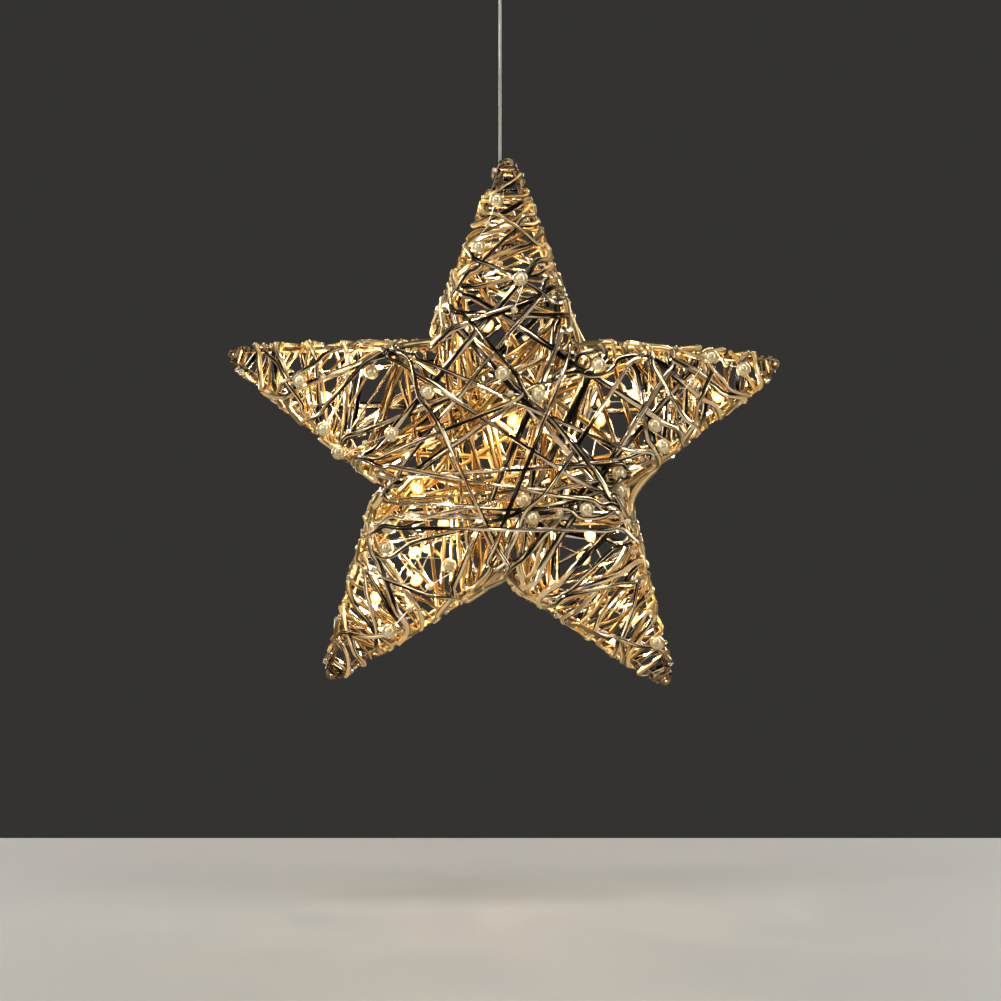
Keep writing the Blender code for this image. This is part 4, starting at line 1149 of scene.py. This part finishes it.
extra = {
    "fillerSeed": 11,
    "innerSeed": 550,
    "armSeed": 77,
    "windSeed": 100,
    "inner": 3,
    "innerLegs": 14,
    "innerDrop": 0.0026,
    "innerShortest": 0.0300,
    "innerHighest": 0.1300,
    "startHighest": 0.1150,
    "hook": ((-80, 2.2), (-45, 1.0), (0, 1.0), (45, 1.0), (80, 2.2)),  # degrees round the wire, and reach
    "hookDrop": 1.2,
    "hookAside": 0.6,
    "fillers": 2,
    "perFiller": 14,
    "fillerLayer": 3,
    "tries": 60,
    "longest": 0.1700,
    "cell": 0.0020,
    "cells": 170,
    "insideSteps": 10,
    "overhang": 0.0012,
    "bendReach": 0.0090,
    "bendEnds": 0.0060,
    "centreShare": 0.8,
    "centrePull": 0.12,
    "rootTurns": ((2, 1, 0.10), (2, -1, 0.02), (2, 1, 0.24), (2, -1, 0.15), (3, 1, 0.08)),
    "armTurns": ((1, 0.05), (-1, 0.82), (1, 0.12), (-1, 0.40), (1, 0.86), (-1, 0.08), (1, 0.48)),
    "armPlay": 0.08,
    "tipTurns": 4,
    "tipFrom": 0.1490,
    "tipTo": 0.1545,
}
lowestAlong = baseAlong + notchClearance(layers[1])
highestAlong = tipCorner - winding["bareTip"]
cells = {face: np.zeros((extra["cells"], extra["cells"])) for face in (-1, 1)}


def cellOf(spot):
    middle = extra["cells"] // 2
    return round(spot[0] / extra["cell"]) + middle, round(spot[2] / extra["cell"]) + middle


def countCells(points):
    for spot in evenSteps(points, extra["cell"]):
        if abs(spot[1]) > star["tipHalfDepth"]:
            cells[-1 if spot[1] < 0 else 1][cellOf(spot)] += 1


def pathPastBalls(start, end, face):
    run = Vector((end.x - start.x, end.z - start.z))
    steps = max(3, math.ceil(run.length / laying["step"]))
    direction = run.normalized()
    normal = Vector((-direction.y, direction.x))
    far = np.linspace(0, run.length, steps + 1)
    shift = np.zeros(steps + 1)
    for centre, size in balls[face]:
        offset = Vector((centre.x - start.x, centre.z - start.z))
        along = offset.dot(direction)
        aside = offset.dot(normal)
        clear = (size + laying["strand"]) / 2 + star["gap"]
        if 0 < along < run.length and abs(aside) < clear:
            push = aside - math.copysign(clear, aside)
            near = push * np.exp(-(((far - along) / extra["bendReach"]) ** 2))
            shift = np.where(np.abs(near) > np.abs(shift), near, shift)
    shift *= np.clip(np.minimum(far, run.length - far) / extra["bendEnds"], 0, 1)
    path = []
    for step in range(steps + 1):
        spot = start.lerp(end, step / steps)
        path.append(Vector((spot.x + shift[step] * normal.x, spot.y, spot.z + shift[step] * normal.y)))
    return path


def isInside(start, end):
    for step in range(1, extra["insideSteps"]):
        spot = start.lerp(end, step / extra["insideSteps"])
        _, along, across = armOf(spot.x, spot.z)
        if abs(across) > wireSpread(along) + extra["overhang"]:
            return False
    return True


def isCentral(cell):
    middle = extra["cells"] // 2
    out = math.hypot(cell[0] - middle, cell[1] - middle) * extra["cell"]
    return out < star["notchRadius"] * extra["centreShare"]


def pickTurn(dice, last, face, highest):
    arm, side, along = last
    start = onArm(arm, along, side * wireSpread(along), 0)
    best = None
    for _ in range(extra["tries"]):
        turn = (dice.randrange(star["arms"]), dice.choice((-1, 1)), dice.uniform(lowestAlong, highest))
        end = onArm(turn[0], turn[2], turn[1] * wireSpread(turn[2]), 0)
        length = (end - start).length
        shortest = min(extra["innerShortest"], wireSpread(along))
        if turn[:2] == (arm, side) or not shortest < length < extra["longest"]:
            continue
        if isInside(start, end):
            steps = max(2, round(length / extra["cell"]))
            spots = {cellOf(start.lerp(end, step / steps)) for step in range(steps + 1)}
            filled = sum(cells[face][spot] for spot in spots) / len(spots)
            emptySpots = [spot for spot in spots if cells[face][spot] == 0 and isCentral(spot)]
            filled -= extra["centrePull"] * len(emptySpots)
            if best is None or filled < best[0]:
                best = (filled, turn, spots)
    if best is None:
        return last
    for spot in best[2]:
        cells[face][spot] += 1
    return best[1]


def firstTurn(dice):
    highest = extra["startHighest"]
    return dice.randrange(star["arms"]), dice.choice((-1, 1)), dice.uniform(lowestAlong, highest)


def innerRoute(dice):
    turn = firstTurn(dice)
    face = -1
    points = []
    for leg in range(extra["innerLegs"]):
        arm, side, along = turn
        hand = 1 if leg % 2 else -1
        farAngle, farReach = extra["hook"][-1]
        for angle, reach in extra["hook"]:
            deep = layers[0] * math.sin(math.radians(hand * angle))
            out = layers[0] * math.cos(math.radians(angle))
            out -= (reach - 1.0) * laying["strand"] * extra["hookDrop"]
            rise = wireDepth(along) + (-extra["innerDrop"] if reach == farReach else deep)
            aside = along + hand * angle / farAngle * laying["strand"] * extra["hookAside"]
            points.append(onArm(arm, aside, side * (wireSpread(along) + out), face * rise))
        if leg % 3 == 2:
            face = -face
        turn = pickTurn(dice, turn, face, extra["innerHighest"])
    return points


def fillerRoute(dice, face):
    turn = firstTurn(dice)
    corner = roundEdge(*turn, turn[2], layers[extra["fillerLayer"]])
    points = list(corner)
    for _ in range(extra["perFiller"]):
        turn = pickTurn(dice, turn, face, highestAlong)
        share = (turn[2] - lowestAlong) / (highestAlong - lowestAlong)
        nextCorner = freeCorner(cover, turn[0], turn[1], share)
        if face > 0:
            nextCorner.reverse()
        path = pathPastBalls(corner[-1], nextCorner[0], face)
        middle = cover.drawOver(corner[-1], nextCorner[0], strandRadius, face, path)
        cover.add([*corner, *middle, nextCorner[0]], strandRadius)
        points += [*middle, *nextCorner]
        corner = nextCorner
        face = -face
    return points


def tipRoute(arm):
    points = []
    quarters = extra["tipTurns"] * 4
    standOff = (star["wire"] + laying["strand"] * strandLook["full"]["tip"]) / 2
    for quarter in range(quarters):
        along = extra["tipFrom"] + quarter / quarters * (extra["tipTo"] - extra["tipFrom"])
        side, face = ((1, -1), (1, 1), (-1, 1), (-1, -1))[quarter % 4]
        points.append(pastEdge(arm, side, along, face, standOff))
    return points


for route in strandRoutes.values():
    countCells(route)
extraStrands = [(f"foil_tip_{arm + 1}", tipRoute(arm)) for arm in range(star["arms"])]
for number in range(extra["inner"]):
    dice = random.Random(extra["innerSeed"] + number)
    extraStrands.append((f"foil_inner_{number + 1}", innerRoute(dice)))
for number in range(extra["fillers"]):
    dice = random.Random(extra["fillerSeed"] + number)
    extraStrands.append((f"foil_filler_{number + 1}", fillerRoute(dice, 1 if number % 2 else -1)))
extraStrands.append(("foil_filler_root", drawStrand(cover, extra["rootTurns"], freeCorner, -1)))
for arm in range(star["arms"]):
    dice = random.Random(extra["armSeed"] + arm)
    hand = 1 if arm % 2 else -1
    turns = []
    for side, share in extra["armTurns"]:
        share += dice.uniform(-1, 1) * extra["armPlay"]
        turns.append((arm, side * hand, clamp(share)))
    extraStrands.append((f"foil_filler_arm_{arm + 1}", drawStrand(cover, turns, freeCorner, -1)))
for number, (name, route) in enumerate(extraStrands):
    finishes = topFinishes if "filler" in name else foilFinishes
    finish = bronze if "tip" in name else finishes[number % len(finishes)]
    windStrand(name, route, extra["windSeed"] + number, finish)
bpy.data.objects.remove(strandSection, do_unlink=True)
print("more strands wound:", len(extraStrands))


# The wire frame

for face, route in zip(("front", "back"), frameRoutes(star["bendSteps"])):
    piece = makeTube(f"wire_{face}", [route], star["wire"], bronze, 3, closed=True)
    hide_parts(f"{face}_outline")
spacerPiece = makeTube("wire_spacers", spacerRoutes, star["wire"], bronze, 3)
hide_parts(*[f"spacer_{arm + 1}" for arm in range(star["arms"])])
print("wire frame done")


# The string of lights: a resin drop over each light, on two thin wires twisted together

lights = {
    "drop": 0.0062,
    "dropLength": 0.0080,
    "strandWidth": 0.00045,
    "twist": 0.0060,
    "step": 0.0015,
    "inSleeve": 0.0040,
    "power": 0.16,
    "colour": (1.0, 0.82, 0.52),
    "behindDrop": 0.0050,
    "glow": 2.1,
    "pale": (1.0, 0.90, 0.62),
    "warm": (1.0, 0.74, 0.34),
    "rim": (1.0, 0.30, 0.04),
}
# Where the string bends: right and up as shares of an arm, the face it lies at, whether a drop is there
stringShares = (
    (-0.017, 0.8, 0, False), (-0.05, 0.64, -1, True), (-0.05, 0.41, -1, True), (-0.2, 0.36, -1, False),
    (-0.37, 0.32, -1, True), (-0.52, 0.27, -1, True), (-0.77, 0.23, -1, True), (-0.79, 0.25, 1, False),
    (-0.6, 0.17, 1, True), (-0.49, -0.02, 1, False), (-0.45, -0.05, -1, True), (-0.29, -0.14, -1, True),
    (-0.2, -0.26, -1, True), (-0.29, -0.45, -1, True), (-0.43, -0.51, -1, True), (-0.46, -0.58, 1, False),
    (-0.3, -0.36, 1, True), (0.02, -0.2, 1, True), (0.13, -0.36, 1, False), (0.17, -0.47, -1, True),
    (0.44, -0.58, -1, True), (0.45, -0.62, 1, False), (0.3, -0.3, 1, True), (0.3, -0.06, 1, False),
    (0.33, 0.09, -1, True), (0.34, 0.15, -1, True), (0.73, 0.17, -1, True), (0.74, 0.22, 1, False),
    (0.45, 0.18, 1, True), (0.16, 0.33, 1, False), (0.13, 0.36, -1, False), (0.035, 0.09, -1, True),
)
resin, resinTree, resinShader = newMaterial("warm_resin", (0.16, 0.10, 0.035), 0.16)
resinClouds = addNoise(resinTree, objectPlace(resinTree), 700.0, 3.0)
resinPatches = addRange(resinTree, resinClouds, 0.35, 0.65)
resinGlow = addMix(resinTree, resinPatches, lights["pale"], lights["warm"])
resinFacing = addNode(resinTree, "ShaderNodeLayerWeight", {"Blend": 0.5}).outputs["Facing"]
resinRim = addRange(resinTree, resinFacing, 0.04, 0.50)
resinSockets = {
    "Emission Color": addMix(resinTree, resinRim, resinGlow, lights["rim"]),
    "Emission Strength": lights["glow"],
    "Normal": addBump(resinTree, resinClouds, 0.4, 0.0003),
}
feed(resinTree, resinShader, resinSockets)

stringStart = sleeveLow.z - starCentre.z
stringSpots = [
    (Vector((-starCentre.x, 0, stringStart + lights["inSleeve"])), False),
    (Vector((-starCentre.x, 0, stringStart - sleeveWidth)), False),
]
for right, above, face, lit in stringShares:
    x, z = right * tipCorner, above * tipCorner
    depth = faceLevel(x, z) - star["wire"] / 2 - lights["drop"] / 2
    stringSpots.append((Vector((x, face * depth, z)), lit))
middleLine = smoothRoute(evenSteps([spot for spot, _ in stringSpots], lights["step"]), 1)
wireRoutes = [[], []]
for index, spot in enumerate(middleLine):
    before, after = neighbours(middleLine, index)
    along = Vector(after - before).normalized()
    aside = along.orthogonal().normalized()
    for hand, route in zip((0, math.pi), wireRoutes):
        angle = hand + 2 * math.pi * index * lights["step"] / lights["twist"]
        offset = Quaternion(along, angle) @ aside * lights["strandWidth"] / 2
        route.append(Vector(spot) + offset)
stringWire = makeTube("light_wires", wireRoutes, lights["strandWidth"], silverWire, 1)
dropMaster = makeBall(lights["drop"], 14, 9)
copies = []
for index, (spot, lit) in enumerate(stringSpots):
    if lit:
        before, after = (end for end, _ in neighbours(stringSpots, index))
        stretch = lights["dropLength"] / lights["drop"]
        copies.append((dropMaster, spot, (after - before).normalized(), stretch))
dropPiece = placeCopies("light_drops", copies, resin)
for piece in (stringWire, dropPiece):
    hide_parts("light_string")
bpy.data.meshes.remove(dropMaster)
for index, (_, spot, _, _) in enumerate(copies):
    glow = bpy.data.lights.new(f"glow_{index + 1}", "POINT")
    glow.energy = lights["power"]
    glow.color = lights["colour"]
    glow.shadow_soft_size = lights["drop"] / 2
    glowObject = bpy.data.objects.new(f"glow_{index + 1}", glow)
    glowObject.location = starCentre + spot - Vector((0, math.copysign(lights["behindDrop"], spot.y), 0))
    bpy.context.scene.collection.objects.link(glowObject)
    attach(glowObject, "star")
print("string of lights done:", len(copies), "lit")


# Floor, light and background

stage = {
    "floorHeight": -0.595,
    "floorFar": 0.35,
    "floorNear": -0.90,
    "floorHalfWidth": 1.3,
    "floor": (0.40, 0.385, 0.355),
    "wall": (0.034, 0.033, 0.031),
    "ambientColour": (1.0, 0.98, 0.95),
    "ambient": 0.35,
    "aim": (0, 0, -0.34),
}

deselectAll()
bpy.ops.mesh.primitive_plane_add(size=2)
floor = bpy.context.active_object
floor.name = "floor"
for vertex in floor.data.vertices:
    vertex.co.x *= stage["floorHalfWidth"]
    vertex.co.y = stage["floorFar"] if vertex.co.y > 0 else stage["floorNear"]
    vertex.co.z = stage["floorHeight"]
floor.data.materials.append(newMaterial("pale_floor", stage["floor"], 0.6)[0])

world = bpy.data.worlds.new("studio")
bpy.context.scene.world = world
world.use_nodes = True
tree = world.node_tree
tree.nodes.clear()
backgrounds = []
for colour, strength in ((stage["ambientColour"], stage["ambient"]), (stage["wall"], 1.0)):
    sockets = {"Color": colour, "Strength": strength}
    backgrounds.append(addNode(tree, "ShaderNodeBackground", sockets).outputs[0])
rays = addNode(tree, "ShaderNodeLightPath").outputs
seen = addMath(tree, "MAXIMUM", rays["Is Camera Ray"], rays["Is Glossy Ray"])
seen = addMath(tree, "MAXIMUM", seen, rays["Is Transmission Ray"])
blended = addNode(tree, "ShaderNodeMixShader", {0: seen, 1: backgrounds[0], 2: backgrounds[1]})
addNode(tree, "ShaderNodeOutputWorld", {"Surface": blended.outputs[0]})

lamps = {
    "left": {"place": (-1.10, -0.80, 0.10), "size": (0.45, 1.30), "power": 7.5},
    "right": {"place": (1.10, -0.90, 0.05), "size": (0.36, 1.20), "power": 6},
    "top": {"place": (0.10, -0.60, 0.90), "size": (1.30, 0.36), "power": 8},
    "low": {"place": (-0.25, -1.30, -0.95), "size": (0.90, 0.20), "power": 3},
    "front": {"place": (-0.22, -1.50, 0.15), "size": (0.12, 0.12), "power": 3},
    "rimRight": {"place": (0.80, 0.90, 0.20), "size": (0.70, 0.90), "power": 8},
    "rimLeft": {"place": (-0.85, 0.85, 0.05), "size": (0.60, 0.90), "power": 7},
}
for label, lamp in lamps.items():
    light = bpy.data.lights.new(label, "AREA")
    light.shape = "RECTANGLE"
    light.size, light.size_y = lamp["size"]
    light.energy = lamp["power"]
    lampObject = bpy.data.objects.new(label, light)
    lampObject.location = lamp["place"]
    aim = Vector(stage["aim"]) - Vector(lamp["place"])
    lampObject.rotation_euler = aim.to_track_quat("-Z", "Y").to_euler()
    bpy.context.scene.collection.objects.link(lampObject)

bpy.context.scene.view_settings.view_transform = "Standard"
